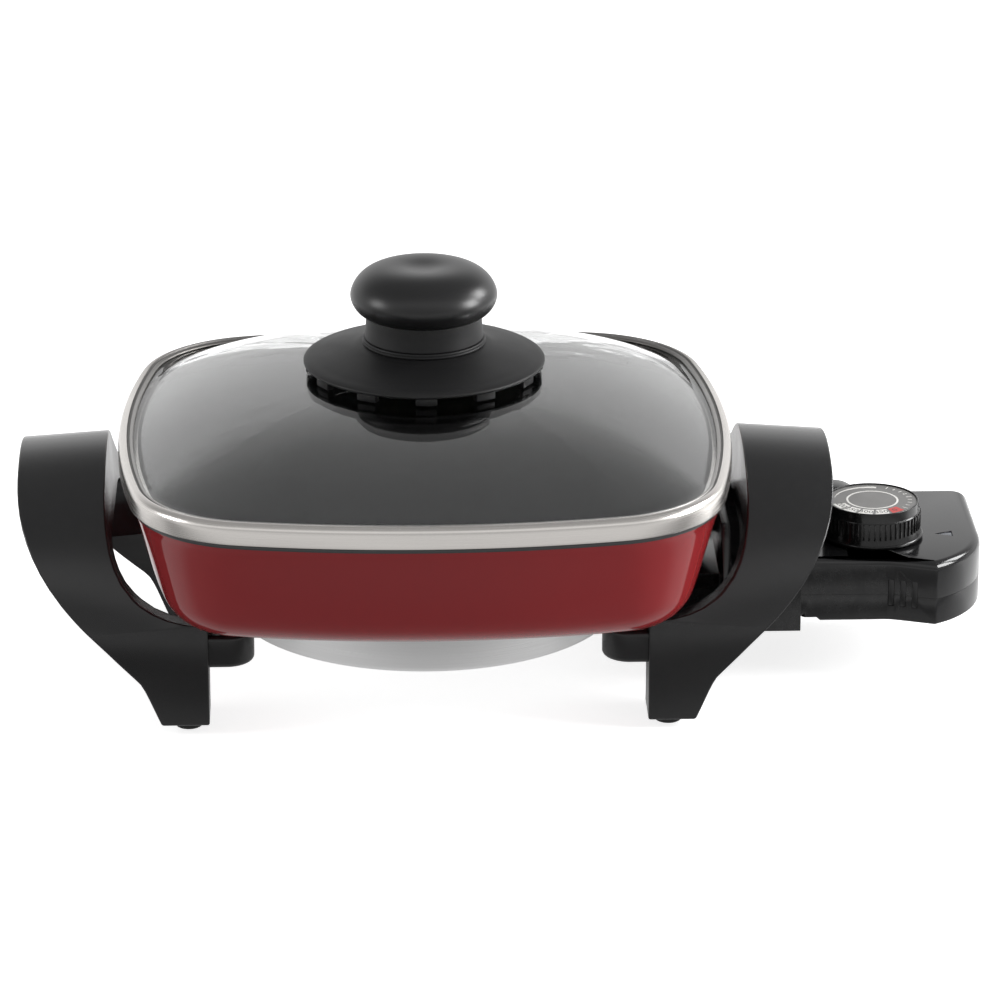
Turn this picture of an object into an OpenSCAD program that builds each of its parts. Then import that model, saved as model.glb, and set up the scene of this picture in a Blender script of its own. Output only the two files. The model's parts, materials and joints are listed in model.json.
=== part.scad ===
// Electric skillet: a square enamelled pan on two leg handles, a lift-off glass lid
// and a plug-in heat control with a turning dial. Lengths are millimetres. Z is up,
// the rubber feet stand on Z = 0, and +X runs from the pan to the heat control.

/* [Lid and pan] */
// Width of the lid over its steel rim
lid_w = 216; // [214:1:217]
// Radius of the gentle bow of each side
side_r = 348; // [320:1:380]
// Radius of the lid rim's corners
corner_r = 45.8; // [42:0.1:50]
// Height of the steel rim's lower edge
rim_z = 84.1; // [84:0.1:85]
// Rise of the glass from the rim to its middle
dome_rise = 22.8; // [22:0.1:23]
// Thickness of the glass
glass_t = 3.7; // [3:0.1:4]
// Height of the pan's underside
pan_z = 42; // [42:0.1:42.5]
// Thickness of the cast pan
pan_t = 3; // [2.5:0.1:3.5]

/* [Handles] */
// Outer radius of the handle's arch, seen from the side
arch_r = 64; // [63:0.5:65]
// Depth of each leg from front to back, on the side away from the pan
leg_d = 28.5; // [25:0.5:29.5]
// Height of the centre of the arch
arch_z = 21; // [20:0.5:21.5]
// Height of the flat underside of the arch's crown
opening_z = 61.2; // [61.2:0.1:62]
// Height of the leg's underside over the table
leg_z = 3.2; // [2.8:0.1:3.6]

/* [Knob] */
// Largest radius of the knob
knob_r = 25.8; // [24:0.1:27]
// Radius of the knob's neck
neck_r = 20.4; // [19:0.1:21]
// Radius of the vented skirt under the neck
skirt_r = 42.5; // [41:0.1:44]

/* [Heat control] */
// Distance from the pan's centre to the dial's axis
dial_x = 159.5; // [158:0.5:161]
// Radius of the dial's grip
dial_r = 16.9; // [16:0.1:17.5]
// Height of the control's top face
control_top_z = 47.3; // [47:0.1:47.6]
// Height of the seam between the control's two shells
seam_z = 33.9; // [33:0.1:34.4]
// Radius of the heat probe
probe_r = 3.2; // [3:0.1:3.4]
// Spacing of the two power pins
pin_gap = 28; // [26:0.5:30]

/* [Hidden] */
$fn = 64;
eps = 0.01;
gap = 0.05;

lid_half = lid_w / 2;
side_steps = 6;
corner_steps = 10;

// The pan: its wall leans out from a rounded lower corner to a beaded rim
pan_rim_z = rim_z - 0.3;
pan_rim_half = lid_half - 1.4;
pan_foot_half = lid_half - 13;
pan_corner_r = 17;
pan_sharpening = 8;
wall_lean = atan2(pan_rim_half - 0.5 - pan_foot_half, pan_rim_z - pan_z);
pan_arc_half = pan_foot_half + pan_corner_r * (sin(wall_lean) - 1) / cos(wall_lean);
pan_arc_z = pan_z + pan_corner_r;

// The lid: the steel rim is a channel that holds the edge of the glass
rim_top_z = rim_z + 7.5;
glass_z = rim_z + 2.35;
glass_edge = 0.988;
glass_flat = 0.945;
dome_power = 3;
glass_hole_r = 5;
glass_top_z = glass_z + glass_t + dome_rise;

// What hangs under the pan
plate_r = 72;
plate_z = 37.2;
element_z = 35.6;
element_r = 3.3;
element_loop_r = 58;
cover_top_r = 76;
cover_foot_r = 70;
cover_z = 24;
cover_t = 1;

// Handles, mirrored left and right
handle_out_x = 142.8;
handle_in_x = 112;
leg_in_x = 76.2;
boss_x = 70;
boss_y = 52;
boss_r = 9.5;
boss_z = 23.5;
boss_top_z = 35.4;
standoff_bore_z = 40.4;
foot_x = 83.6;
foot_y = arch_r - 9;
leg_face = arch_r - leg_d;
leg_flare = 11.5;
leg_lean = 31.5;
foot_r = 4.8;
peg_r = 2.4;
screw_r = 1.9;
guard_peg_z = 30;
crown_tilt = 4;
crown_mid_x = 131;

// Socket guard and heat control
pin_r = 2.4;
pin_y = pin_gap / 2;
guard_x0 = 103.6;
guard_x1 = 132.1;
guard_y = 28;
guard_z0 = 21.6;
guard_z1 = control_top_z + 3.3;
guard_t = 3;
guard_peg_y = face_y(across_leg(guard_x0 + 4, guard_peg_z));
duct_x0 = 73.2;
duct_y = 22;
nose_x0 = 108;
nose_y = 24.5;
nose_z = 25.4;
nose_top_z = control_top_z;
control_x0 = 132.5;
control_x1 = 198.5;
control_z = 24;
control_rear_y = 47;
flare_x = 164;
flare_corner_x = 179.6;
flare_corner_y = -30;
step_x = 138.5;
control_t = 2.2;
inlet_x = 150.4;
inlet_z = 40.3;
inlet_barrel_r = 10.5;
inlet_body_r = 6;
inlet_bore_r = 3.6;
dial_top_z = 60.9;
dial_foot_z = control_top_z + 0.3;
shaft_r = 3;
shaft_z = 30;
cam_z = 31;
lens_x = 185.4;
control_screw_places = [[142.9, 30.5], [184, 40], [170, -19]];

// Moves the whole object so that its bounding box is centred on X = 0
frame_x = -(control_x1 - handle_out_x) / 2;

// ---- Curves, outlines and lofts ----

function drop_last(v) = [for (i = [0:len(v) - 2]) v[i]];
function turned(p, a) = [p.x * cos(a) - p.y * sin(a), p.x * sin(a) + p.y * cos(a)];
function mixed(p, q, t) = p * (1 - t) + q * t;
function unit(v) = v / norm(v);

function arc(c, r, a0, a1, n) =
    [for (i = [0:n]) let (a = a0 + (a1 - a0) * i / n) c + r * [cos(a), sin(a)]];

function bezier(p0, p1, p2, p3, n) =
    [for (i = [0:n]) let (t = i / n, u = 1 - t)
        u * u * u * p0 + 3 * u * u * t * p1 + 3 * u * t * t * p2 + t * t * t * p3];

// The angle a brought to the half turn either side of zero
function short_turn(a) = a > 180 ? a - 360 : a < -180 ? a + 360 : a;

// An arc of radius r in place of the corner q between p and s
function corner_arc(p, q, s, r, n) = let (
        u = unit(p - q), v = unit(s - q),
        half = acos(min(1, max(-1, u * v))) / 2,
        c = q + unit(u + v) * r / sin(half),
        start = q + u * r / tan(half) - c,
        end = q + v * r / tan(half) - c,
        a0 = atan2(start.y, start.x),
        sweep = short_turn(atan2(end.y, end.x) - a0))
    arc(c, r, a0, a0 + sweep, n);

// A polygon with each of its corners rounded; corners holds [point, radius]
function rounded(corners, n = 6) = let (k = len(corners))
    [for (i = [0:k - 1]) each corners[i][1] == 0 ? [corners[i][0]] :
        corner_arc(corners[(i + k - 1) % k][0], corners[i][0], corners[(i + 1) % k][0],
                   corners[i][1], n)];

// The corners of an anticlockwise polygon whose sides are moved in by w
function inset(corners, w) = let (k = len(corners))
    [for (i = [0:k - 1]) let (
            q = corners[i][0],
            u = unit(q - corners[(i + k - 1) % k][0]),
            v = unit(corners[(i + 1) % k][0] - q),
            across = [-u.y - v.y, u.x + v.x],
            bulge = u.x * v.y > u.y * v.x ? w : -w)
        [q + w * across / (1 + u * v), max(corners[i][1] - bulge, 0.3)]];

// A quarter of the pan's outline: half a bowed side, a corner, half a bowed side
function quarter(half, rs, rc) = let (
        p = half - rs, d = rs - rc,
        c = (p + sqrt(2 * d * d - p * p)) / 2,
        a = atan2(c, c - p))
    concat(drop_last(arc([p, 0], rs, 0, a, side_steps)),
           drop_last(arc([c, c], rc, a, 90 - a, corner_steps)),
           drop_last(arc([0, p], rs, 90 - a, 90, side_steps)));

// The outline at a distance inside the lid rim's outer edge
function outline(inset, sharper = 0) = let (
        q = quarter(lid_half - inset, side_r - inset, max(corner_r - inset - sharper, 4)))
    [for (k = [0:3]) for (p = q) turned(p, 90 * k)];

function ring(inset, z, sharper = 0) = [for (p = outline(inset, sharper)) [p.x, p.y, z]];

// The outline scaled by s, which turns into a circle towards the middle
function dome_ring(s, z) = let (square = outline(0))
    [for (p = square) let (round = unit(p) * lid_half, q = mixed(round, p, s) * s) [q.x, q.y, z]];

function dome_z(s) =
    glass_z + dome_rise * (s > glass_flat ? 0 : 1 - pow(s / glass_flat, dome_power));

// A closed skin over rings of equal count. A loop joins its last ring to its first,
// and any other skin is closed by its first and last rings.
module skin(rings, loop = false) {
    n = len(rings[0]);
    m = len(rings);
    last = loop ? m - 1 : m - 2;
    sides = [for (i = [0:last]) for (j = [0:n - 1]) let (
            a = i * n + j, b = i * n + (j + 1) % n,
            c = ((i + 1) % m) * n + j, d = ((i + 1) % m) * n + (j + 1) % n)
        each [[a, c, b], [b, c, d]]];
    caps = loop ? [] : [[for (j = [0:n - 1]) j], [for (j = [n - 1:-1:0]) (m - 1) * n + j]];
    polyhedron(points = [for (r = rings) each r], faces = concat(sides, caps), convexity = 6);
}

// ---- Placing ----

module in_frame() { translate([frame_x, 0, 0]) children(); }

module along_x(p, r, l) { translate(p) rotate([0, 90, 0]) cylinder(r = r, h = l); }

module along_y(p, r, l) { translate(p) rotate([-90, 0, 0]) cylinder(r = r, h = l); }

module upright(x, y, z, r, h) { translate([x, y, z]) cylinder(r = r, h = h); }

module block(x, y, z) {
    translate([x[0], y[0], z[0]]) cube([x[1] - x[0], y[1] - y[0], z[1] - z[0]]);
}

module four_ways(x, y) {
    for (sx = [-1, 1]) for (sy = [-1, 1]) translate([sx * x, sy * y, 0]) children();
}

module tube(r_out, r_in, h) {
    difference() {
        cylinder(r = r_out, h = h);
        translate([0, 0, -1]) cylinder(r = r_in, h = h + 2);
    }
}

// ---- Pan and heater ----

function sharper_at(z) = pan_sharpening * (pan_rim_z - z) / (pan_rim_z - pan_z);

// A point of the pan's profile on an arc about the lower corner's centre
function pan_ring(r, a) = let (z = pan_arc_z + r * sin(a))
    ring(lid_half - pan_arc_half - r * cos(a), z, sharper_at(z));

// A point of the pan's wall; depth is measured in from the outer face
function wall_ring(z, depth) = let (
        half = pan_foot_half + (z - pan_z) * tan(wall_lean) - depth / cos(wall_lean))
    ring(lid_half - half, z, sharper_at(z));

module pan() {
    lean = -wall_lean;
    outer_arc = [for (i = [0:7]) pan_ring(pan_corner_r, -90 + (90 + lean) * i / 7)];
    inner_arc = [for (i = [7:-1:0]) pan_ring(pan_corner_r - pan_t, -90 + (90 + lean) * i / 7)];
    bead_low_z = pan_rim_z - 1.6;
    color([0.62, 0.05, 0.08]) in_frame() skin(concat(
        outer_arc,
        [wall_ring(68, 0), wall_ring(pan_rim_z - 3, 0)],
        [ring(lid_half - pan_rim_half, bead_low_z), ring(lid_half - pan_rim_half, pan_rim_z - 0.3)],
        [ring(lid_half - pan_rim_half + 0.4, pan_rim_z), ring(lid_half - pan_rim_half + 3, pan_rim_z)],
        [ring(lid_half - pan_rim_half + 3.4, pan_rim_z - 0.4), wall_ring(pan_rim_z - 4, pan_t)],
        [wall_ring(68, pan_t)],
        inner_arc));
}

// A ring of the element's skin about the point p, square to its heading
function element_ring(p, heading) = let (sides = 16)
    [for (k = [0:sides - 1]) let (a = 360 * k / sides, out = element_r * cos(a))
        [p.x - out * sin(heading), p.y + out * cos(heading), element_r * sin(a)]];

// A loop whose two ends bend outwards, each onto the line of its power pin
module element_path() {
    open_angle = 30;
    loop_end = element_loop_r * [cos(open_angle), sin(open_angle)];
    bend_r = (loop_end.y - pin_y) / (1 - sin(open_angle));
    bend = loop_end + bend_r * [cos(open_angle), sin(open_angle)];
    end_x = 83;
    skin(concat(
        [element_ring([end_x, pin_y], 180)],
        [for (a = [270:-12:210]) element_ring(bend + bend_r * [cos(a), sin(a)], a - 90)],
        [for (a = [35:5:325]) element_ring(element_loop_r * [cos(a), sin(a)], a + 90)],
        [for (a = [150:-12:90])
            element_ring([bend.x, -bend.y] + bend_r * [cos(a), sin(a)], a - 90)],
        [element_ring([end_x, -pin_y], 0)]));
}

module heating_element() {
    color([0.30, 0.29, 0.30]) in_frame() translate([0, 0, element_z]) element_path();
}

module heater_plate() {
    groove_r = element_r + 0.1;
    color([0.72, 0.73, 0.75]) in_frame() difference() {
        upright(0, 0, plate_z, plate_r, pan_z - gap - plate_z);
        translate([0, 0, element_z])
            rotate_extrude() translate([element_loop_r, 0]) circle(r = groove_r);
        block([42, plate_r + 1], [-36, 36], [plate_z - 1, element_z + groove_r]);
        along_x([24, 0, element_z], 5.4, 60);
        upright(0, 0, plate_z - 1, 3.05, 4);
    }
}

module terminal_pins() {
    color([0.78, 0.77, 0.74]) in_frame() for (s = [-1, 1]) {
        along_x([83.1, s * pin_y, element_z], pin_r, 39);
        translate([122.1, s * pin_y, element_z]) sphere(r = pin_r);
    }
}

module terminal_insulators() {
    color([0.90, 0.88, 0.83]) in_frame() for (s = [-1, 1])
        translate([84, s * pin_y, element_z]) rotate([0, 90, 0]) {
            tube(4.4, pin_r + gap, 7);
            translate([0, 0, 2.5]) tube(5, pin_r + gap, 2);
        }
}

module probe_well() {
    color([0.66, 0.67, 0.69]) in_frame() difference() {
        along_x([26, 0, element_z], 5, 66);
        along_x([32, 0, element_z], probe_r + 0.4, 62);
    }
}

module base_cover() {
    bend_r = 3;
    profile = concat(
        [[4, cover_z], [cover_foot_r - bend_r, cover_z]],
        arc([cover_foot_r - bend_r, cover_z + bend_r], bend_r, -70, -15, 4),
        [[cover_top_r, pan_z - 0.1], [cover_top_r - cover_t, pan_z - 0.1]],
        arc([cover_foot_r - bend_r, cover_z + bend_r], bend_r - cover_t, -15, -90, 4),
        [[4, cover_z + cover_t]]);
    color([0.80, 0.80, 0.80]) in_frame() difference() {
        rotate_extrude($fn = 96) polygon(profile);
        block([60, cover_top_r + 2], [-duct_y - 0.5, duct_y + 0.5], [26.4, pan_z + 1]);
    }
}

module cover_stud() {
    color([0.70, 0.70, 0.70]) in_frame() {
        upright(0, 0, 21.2, 3, plate_z + 2.8 - 21.2);
        upright(0, 0, plate_z - 4, 5.5, 4 - gap);
    }
}

module cover_nut() {
    color([0.75, 0.75, 0.74]) in_frame() difference() {
        union() {
            upright(0, 0, cover_z - 0.9, 7.5, 0.9 - gap);
            translate([0, 0, 20.2]) cylinder(r = 5.6, h = cover_z - 0.9 - 20.2, $fn = 6);
        }
        upright(0, 0, 19, 3 + gap, 8);
    }
}

module pan_standoffs() {
    color([0.70, 0.70, 0.70]) in_frame() four_ways(boss_x, boss_y) difference() {
        upright(0, 0, boss_top_z + gap, 5, pan_z - gap - boss_top_z - gap);
        upright(0, 0, boss_top_z - 1, screw_r + gap, standoff_bore_z - boss_top_z + 1);
    }
}

// ---- Handles and feet ----

// The right handle's outline from the front: arch, under-arm and foot
function handle_outline() = concat(
    [[handle_out_x - 0.4, 90]],
    bezier([handle_out_x, 82], [handle_out_x, 62], [124, 39.5], [101.5, 20.5], 14),
    drop_last(bezier([101.5, 20.5], [98.6, 18], [97.2, 13], [93.3, leg_z + 1.4], 6)),
    [[92.8, leg_z + 0.5], [92.2, leg_z], [leg_in_x + 1, leg_z], [leg_in_x, leg_z + 1]],
    bezier([leg_in_x, 35.5], [101, 38], [111, 52], [handle_in_x, 76], 14),
    [[handle_in_x, 90]]);

// A round vault on straight walls; its crown falls away from the pan
module vault(r, x0, x1) {
    translate([crown_mid_x, 0, arch_z]) rotate([0, crown_tilt, 0]) {
        along_x([x0 - crown_mid_x, 0, 0], r, x1 - x0);
        block([x0 - crown_mid_x, x1 - crown_mid_x], [-r, r], [-40, 0]);
    }
}

// How far from the middle a leg's inner face is. The distance n is taken square to the
// leg, from the pan's side outwards, and the two inner faces spread towards the pan.
function face_y(n) = leg_face + leg_flare * (85 - n) / 25;
function across_leg(x, z) = x * cos(leg_lean) - z * sin(leg_lean);

// The opening between the legs and under the crown, made smaller by a clearance
module opening(clear, x0, x1) {
    half = leg_face + leg_flare - clear;
    top = opening_z - clear;
    near = [40, face_y(40) - clear];
    far = [110, face_y(110) - clear];
    intersection() {
        translate([x0, 0, 0]) rotate([90, 0, 90]) linear_extrude(x1 - x0)
            polygon(rounded([[[-half, -1], 0], [[half, -1], 0],
                             [[half, top], 20], [[-half, top], 20]], 10));
        rotate([0, leg_lean, 0]) linear_extrude(400, center = true)
            polygon([[near.x, -near.y], [far.x, -far.y], far, near]);
    }
}

module arch_profile() {
    difference() {
        vault(arch_r, 60, 150);
        opening(0, 59, 151);
    }
}

module handle() {
    difference() {
        union() {
            intersection() {
                translate([0, 100, 0]) rotate([90, 0, 0]) linear_extrude(200) polygon(handle_outline());
                arch_profile();
            }
            for (s = [-1, 1]) {
                upright(boss_x, s * boss_y, boss_z, boss_r, boss_top_z - boss_z);
                block([boss_x, leg_in_x + 4], [s * boss_y - boss_r, s * boss_y + boss_r],
                      [boss_z, boss_top_z]);
            }
        }
        for (s = [-1, 1]) {
            upright(boss_x, s * boss_y, boss_z - 1, screw_r + 0.3, 20);
            upright(boss_x, s * boss_y, boss_z - 1, 4.6, 6);
            upright(foot_x, s * foot_y, leg_z - 1, peg_r + gap, 8);
        }
    }
}

module left_handle() {
    color([0.07, 0.07, 0.075]) in_frame() mirror([1, 0, 0]) handle();
}

module right_handle() {
    color([0.07, 0.07, 0.075]) in_frame() difference() {
        handle();
        for (s = [-1, 1])
            along_y([guard_x0 + 4, s * (guard_peg_y + 0.3) - 3.3, guard_peg_z], 2 + gap, 6.6);
    }
}

module handle_washers() {
    color([0.72, 0.72, 0.72]) in_frame() four_ways(boss_x, boss_y)
        translate([0, 0, boss_z + 4.2]) tube(4.3, screw_r + 0.2, 0.8 - gap);
}

module handle_screws() {
    head_z = boss_z + 1.6;
    color([0.72, 0.72, 0.72]) in_frame() four_ways(boss_x, boss_y) difference() {
        union() {
            upright(0, 0, head_z, 3.6, 2.6 - gap);
            upright(0, 0, head_z, screw_r, standoff_bore_z - 0.4 - head_z);
        }
        for (a = [0, 90]) rotate([0, 0, a]) block([-2.2, 2.2], [-0.5, 0.5], [boss_z, boss_z + 2.8]);
    }
}

module foot(sx, sy) {
    color([0.10, 0.10, 0.10]) in_frame() translate([sx * foot_x, sy * foot_y, 0]) {
        rotate_extrude() polygon([[0, 0], [foot_r - 0.8, 0], [foot_r, 0.8], [foot_r, leg_z - gap],
                                  [peg_r, leg_z - gap], [peg_r, leg_z + 5.4], [peg_r - 0.6, leg_z + 6],
                                  [0, leg_z + 6]]);
    }
}

module foot_front_left() { foot(-1, -1); }

module foot_front_right() { foot(1, -1); }

module foot_rear_left() { foot(-1, 1); }

module foot_rear_right() { foot(1, 1); }

// ---- Socket guard: a tunnel round the power pins, held between the right legs ----

module guard_wings() {
    wing_top = 61.5;
    wing_y = 46;
    wing = rounded([[[-wing_y, guard_z0 + 4], 3], [[wing_y, guard_z0 + 4], 3],
                    [[wing_y, 33], 2], [[26, wing_top], 10], [[-26, wing_top], 10],
                    [[-wing_y, 33], 2]]);
    intersection() {
        union() {
            translate([guard_x0, 0, 0]) rotate([90, 0, 90]) linear_extrude(guard_t) polygon(wing);
            for (s = [-1, 1])
                block([guard_x0, guard_x0 + 8], [s * 40 - 6, s * 40 + 6], [guard_z0 + 4, 34]);
        }
        opening(gap, guard_x0 - 1, guard_x0 + 19);
    }
}

module socket_guard() {
    duct_t = 2;
    duct_z0 = 26.6;
    duct_z1 = pan_z - 0.4;
    color([0.06, 0.06, 0.065]) in_frame() difference() {
        union() {
            block([guard_x0, guard_x1], [-guard_y, guard_y], [guard_z0, guard_z1]);
            block([duct_x0, guard_x0 + 1], [-duct_y, duct_y], [duct_z0, duct_z1]);
            guard_wings();
            for (s = [-1, 1])
                along_y([guard_x0 + 4, s * guard_peg_y - 3, guard_peg_z], 2, 6);
        }
        block([guard_x0 + guard_t, guard_x1 + 1], [-nose_y - 0.4, nose_y + 0.4],
              [nose_z - 0.5, nose_top_z + 0.4]);
        block([duct_x0 - 1, guard_x0 + guard_t + 1], [-duct_y + duct_t, duct_y - duct_t],
              [duct_z0 + duct_t, duct_z1 - 0.8]);
    }
}

// ---- Lid ----

module lid_glass() {
    hole = glass_hole_r / lid_half;
    scales = [hole, 0.18, 0.36, 0.52, 0.66, 0.78, 0.88, 0.92, glass_flat, glass_edge];
    last = len(scales) - 1;
    upper = [for (i = [last:-1:0]) dome_ring(scales[i], dome_z(scales[i]) + glass_t)];
    lower = [for (s = scales) dome_ring(s, dome_z(s))];
    color([0.75, 0.80, 0.80, 0.35]) in_frame() skin(concat(upper, lower), loop = true);
}

module lid_rim() {
    round_r = 2.8;
    lip = 5.4;
    channel_top = glass_z + glass_t + 0.15;
    channel_low = glass_z - 0.1;
    profile = concat(
        [[0, rim_z], [0, rim_top_z - round_r]],
        [for (a = [22.5, 45, 67.5]) [round_r - round_r * cos(a), rim_top_z - round_r + round_r * sin(a)]],
        [[round_r, rim_top_z], [3.1, rim_top_z - 0.1], [3.3, rim_top_z - 0.7], [3.9, rim_top_z - 0.7],
         [4.1, rim_top_z - 0.3], [lip - 0.4, rim_top_z - 0.4], [lip, channel_top + 0.35],
         [lip, channel_top], [1, channel_top], [1, channel_low], [7.4, channel_low],
         [7.4, rim_z - 3.6], [6.6, rim_z - 3.6], [6.6, rim_z]]);
    color([0.80, 0.77, 0.74]) in_frame()
        skin([for (p = profile) ring(p.x, p.y)], loop = true);
}

module knob_skirt() {
    edge_z = glass_top_z + 2.2;
    profile = [[7.2, glass_top_z + 0.75], [17, glass_top_z + 0.75], [19, edge_z], [24, edge_z + 0.7],
               [skirt_r - 2, edge_z - 0.9], [skirt_r - 0.4, edge_z - 0.6], [skirt_r, edge_z + 0.1],
               [skirt_r - 0.5, edge_z + 0.9], [skirt_r - 1.6, edge_z + 1.4], [30, edge_z + 4.4],
               [22.4, edge_z + 6.6], [7.2, edge_z + 6.6]];
    tab_count = 12;
    tab_arc = 10.6;
    tab_r0 = 38.6;
    tab_r1 = 41.6;
    color([0.08, 0.08, 0.085]) in_frame() {
        rotate_extrude($fn = 96) polygon(profile);
        for (k = [0:tab_count - 1]) rotate([0, 0, 360 * k / tab_count - tab_arc / 2])
            rotate_extrude(angle = tab_arc) polygon([[tab_r0, glass_top_z - 1], [tab_r1, glass_top_z - 1.25],
                                                     [tab_r1, edge_z + 0.6], [tab_r0, edge_z + 0.6]]);
    }
}

module knob_collar() {
    z0 = glass_top_z + 8.8 + gap;
    z1 = glass_top_z + 19.3;
    color([0.085, 0.085, 0.09]) in_frame() rotate_extrude($fn = 96) polygon([
        [6, z0], [neck_r + 1, z0], [neck_r + 1.3, z0 + 0.4], [neck_r + 1.3, z0 + 2], [neck_r + 0.9, z0 + 2.6],
        [neck_r, z0 + 3.2], [neck_r, z1 - 1.2], [neck_r - 1, z1], [6, z1]]);
}

function knob_profile(z) = concat(
    [[5.5, z], [19.6, z]],
    bezier([19.6, z], [22.8, z], [knob_r, z + 3.8], [knob_r, z + 7], 7),
    bezier([knob_r, z + 7], [knob_r, z + 9.2], [23.2, z + 17.4], [11, z + 17.4], 10),
    [[6, z + 17.3], [4.6, z + 16.9], [2.4, z + 16.7], [0, z + 16.6], [0, z + 9], [5.5, z + 9]]);

module knob_cap() {
    color([0.06, 0.06, 0.065]) in_frame() rotate_extrude($fn = 96)
        polygon(knob_profile(glass_top_z + 19.35));
}

module knob_insert() {
    z = glass_top_z + 19.35;
    color([0.72, 0.58, 0.30]) in_frame() translate([0, 0, z + 0.4])
        tube(5.5 - gap, 2.5 + gap, 8);
}

module knob_seal() {
    color([0.60, 0.62, 0.62]) in_frame() translate([0, 0, glass_top_z + 0.1]) tube(15, 3, 0.6);
}

module knob_backing() {
    z1 = glass_top_z - glass_t - 0.35;
    color([0.07, 0.07, 0.075]) in_frame() difference() {
        rotate_extrude($fn = 64) polygon([[0, z1 - 5], [14, z1 - 5], [18.4, z1 - 3.6], [19.4, z1 - 1.4],
                                          [19.4, z1], [0, z1]]);
        upright(0, 0, z1 - 6, 4.6, 3.4);
        upright(0, 0, z1 - 6, 2.8, 8);
    }
}

module knob_screw() {
    z = glass_top_z - glass_t - 0.35 - 4.8;
    color([0.72, 0.72, 0.72]) in_frame() difference() {
        union() {
            upright(0, 0, z, 4.2, 2);
            upright(0, 0, z, 2.5, 37);
        }
        for (a = [0, 90]) rotate([0, 0, a]) block([-2.6, 2.6], [-0.6, 0.6], [z - 1, z + 1.1]);
    }
}

// ---- Heat control ----

// Plan of the control's body, its walls w further in than the outer face. The front
// flares out a little beyond the dial, and one wide bend leads from there to the side.
function control_plan(w) = rounded(inset([
    [[control_x0, -nose_y], 2],
    [[flare_x, -nose_y], 12],
    [[flare_corner_x, flare_corner_y], 1.5],
    [[control_x1, -18.2], 37],
    [[control_x1, control_rear_y], 6],
    [[control_x0, control_rear_y], 7]], w), 8);

module nose_block(w, x0, x1) {
    block([x0, x1], [-nose_y + w, nose_y - w], [nose_z + w, nose_top_z - w]);
}

module control_outer() {
    difference() {
        translate([0, 0, control_z]) linear_extrude(control_top_z - control_z) polygon(control_plan(0));
        block([control_x0 - 1, step_x], [-60, 60], [control_z - 1, nose_z]);
    }
    nose_block(0, nose_x0, control_x0 + 3);
    along_y([inlet_x, control_rear_y - 8, inlet_z], inlet_barrel_r, 10);
}

module control_cavity() {
    w = control_t;
    difference() {
        translate([0, 0, control_z + w]) linear_extrude(control_top_z - control_z - 2 * w)
            polygon(control_plan(w));
        block([control_x0, step_x + 1.3], [-60, 60], [control_z, nose_z + 2]);
    }
    nose_block(2, nose_x0 - 1, control_x0 + 4);
}

module control_top() {
    color([0.06, 0.06, 0.065]) in_frame() difference() {
        union() {
            intersection() {
                difference() {
                    control_outer();
                    control_cavity();
                }
                block([100, 210], [-60, 60], [seam_z + gap, 60]);
            }
            for (p = control_screw_places)
                upright(p.x, p.y, seam_z + gap, 3.6, control_top_z - control_t - seam_z);
        }
        for (p = control_screw_places) upright(p.x, p.y, seam_z - 1, 1.55, 8);
        upright(dial_x, 0, control_top_z - 5, 5, 8);
        along_y([inlet_x, control_rear_y - 12, inlet_z], inlet_body_r + gap, 16);
        translate([0, 0, control_top_z - 5]) linear_extrude(8) polygon(lens_plan(gap));
        vent_slots();
    }
}

module control_base() {
    color([0.06, 0.06, 0.065]) in_frame() difference() {
        union() {
            intersection() {
                difference() {
                    control_outer();
                    control_cavity();
                }
                block([100, 210], [-60, 60], [0, seam_z]);
            }
            for (p = control_screw_places)
                upright(p.x, p.y, control_z + 1, 4.4, seam_z - control_z - 1);
        }
        for (p = control_screw_places) {
            upright(p.x, p.y, control_z - 1, 1.8, 20);
            upright(p.x, p.y, control_z - 1, 3.3, 4);
        }
        vent_slots();
    }
}

// Three blind grooves in the flare of the front wall
module vent_slots() {
    width = 2.2;
    depth = 0.6;
    difference() {
        for (x = [163.2:4:171.2])
            block([x, x + width], [flare_corner_y, 0], [seam_z - 4.5, seam_z + 5.5]);
        translate([0, 0, control_z]) linear_extrude(control_top_z - control_z)
            polygon(control_plan(depth));
    }
}

module control_screws() {
    color([0.72, 0.72, 0.72]) in_frame() for (p = control_screw_places) {
        upright(p.x, p.y, control_z + 0.8, 3.1, 2.1);
        upright(p.x, p.y, control_z + 0.8, 1.5, 15);
    }
}

module terminal_block() {
    color([0.86, 0.84, 0.79]) in_frame() difference() {
        block([120, 131], [-20, 20], [28.6, 42.6]);
        for (s = [-1, 1]) along_x([119, s * pin_y, element_z], 4 + gap, 13);
        along_x([119, 0, element_z], probe_r + gap, 13);
    }
}

module contact_sleeves() {
    color([0.80, 0.66, 0.34]) in_frame() for (s = [-1, 1])
        translate([110, s * pin_y, element_z]) rotate([0, 90, 0]) difference() {
            cylinder(r = 4, h = 22);
            translate([0, 0, -1]) cylinder(r = pin_r + 0.06, h = 19);
        }
}

module probe_rod() {
    tip_x = 37;
    color([0.78, 0.78, 0.79]) in_frame() {
        translate([tip_x, 0, element_z]) sphere(r = probe_r);
        along_x([tip_x, 0, element_z], probe_r, 106.4);
        along_x([134.6, 0, element_z], probe_r + 1.6, 3);
    }
}

module thermostat_frame() {
    color([0.66, 0.66, 0.64]) in_frame() difference() {
        union() {
            block([140, 176], [-9, 19], [26.4, 27.8]);
            block([140, 141.6], [-9, 19], [27, 42]);
            block([174.4, 176], [9, 19], [27, 40]);
        }
        along_x([139, 0, element_z], probe_r + 0.1, 4);
        block([139, 143], [12.7, 15.2], [38.5, 43]);
    }
}

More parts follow.
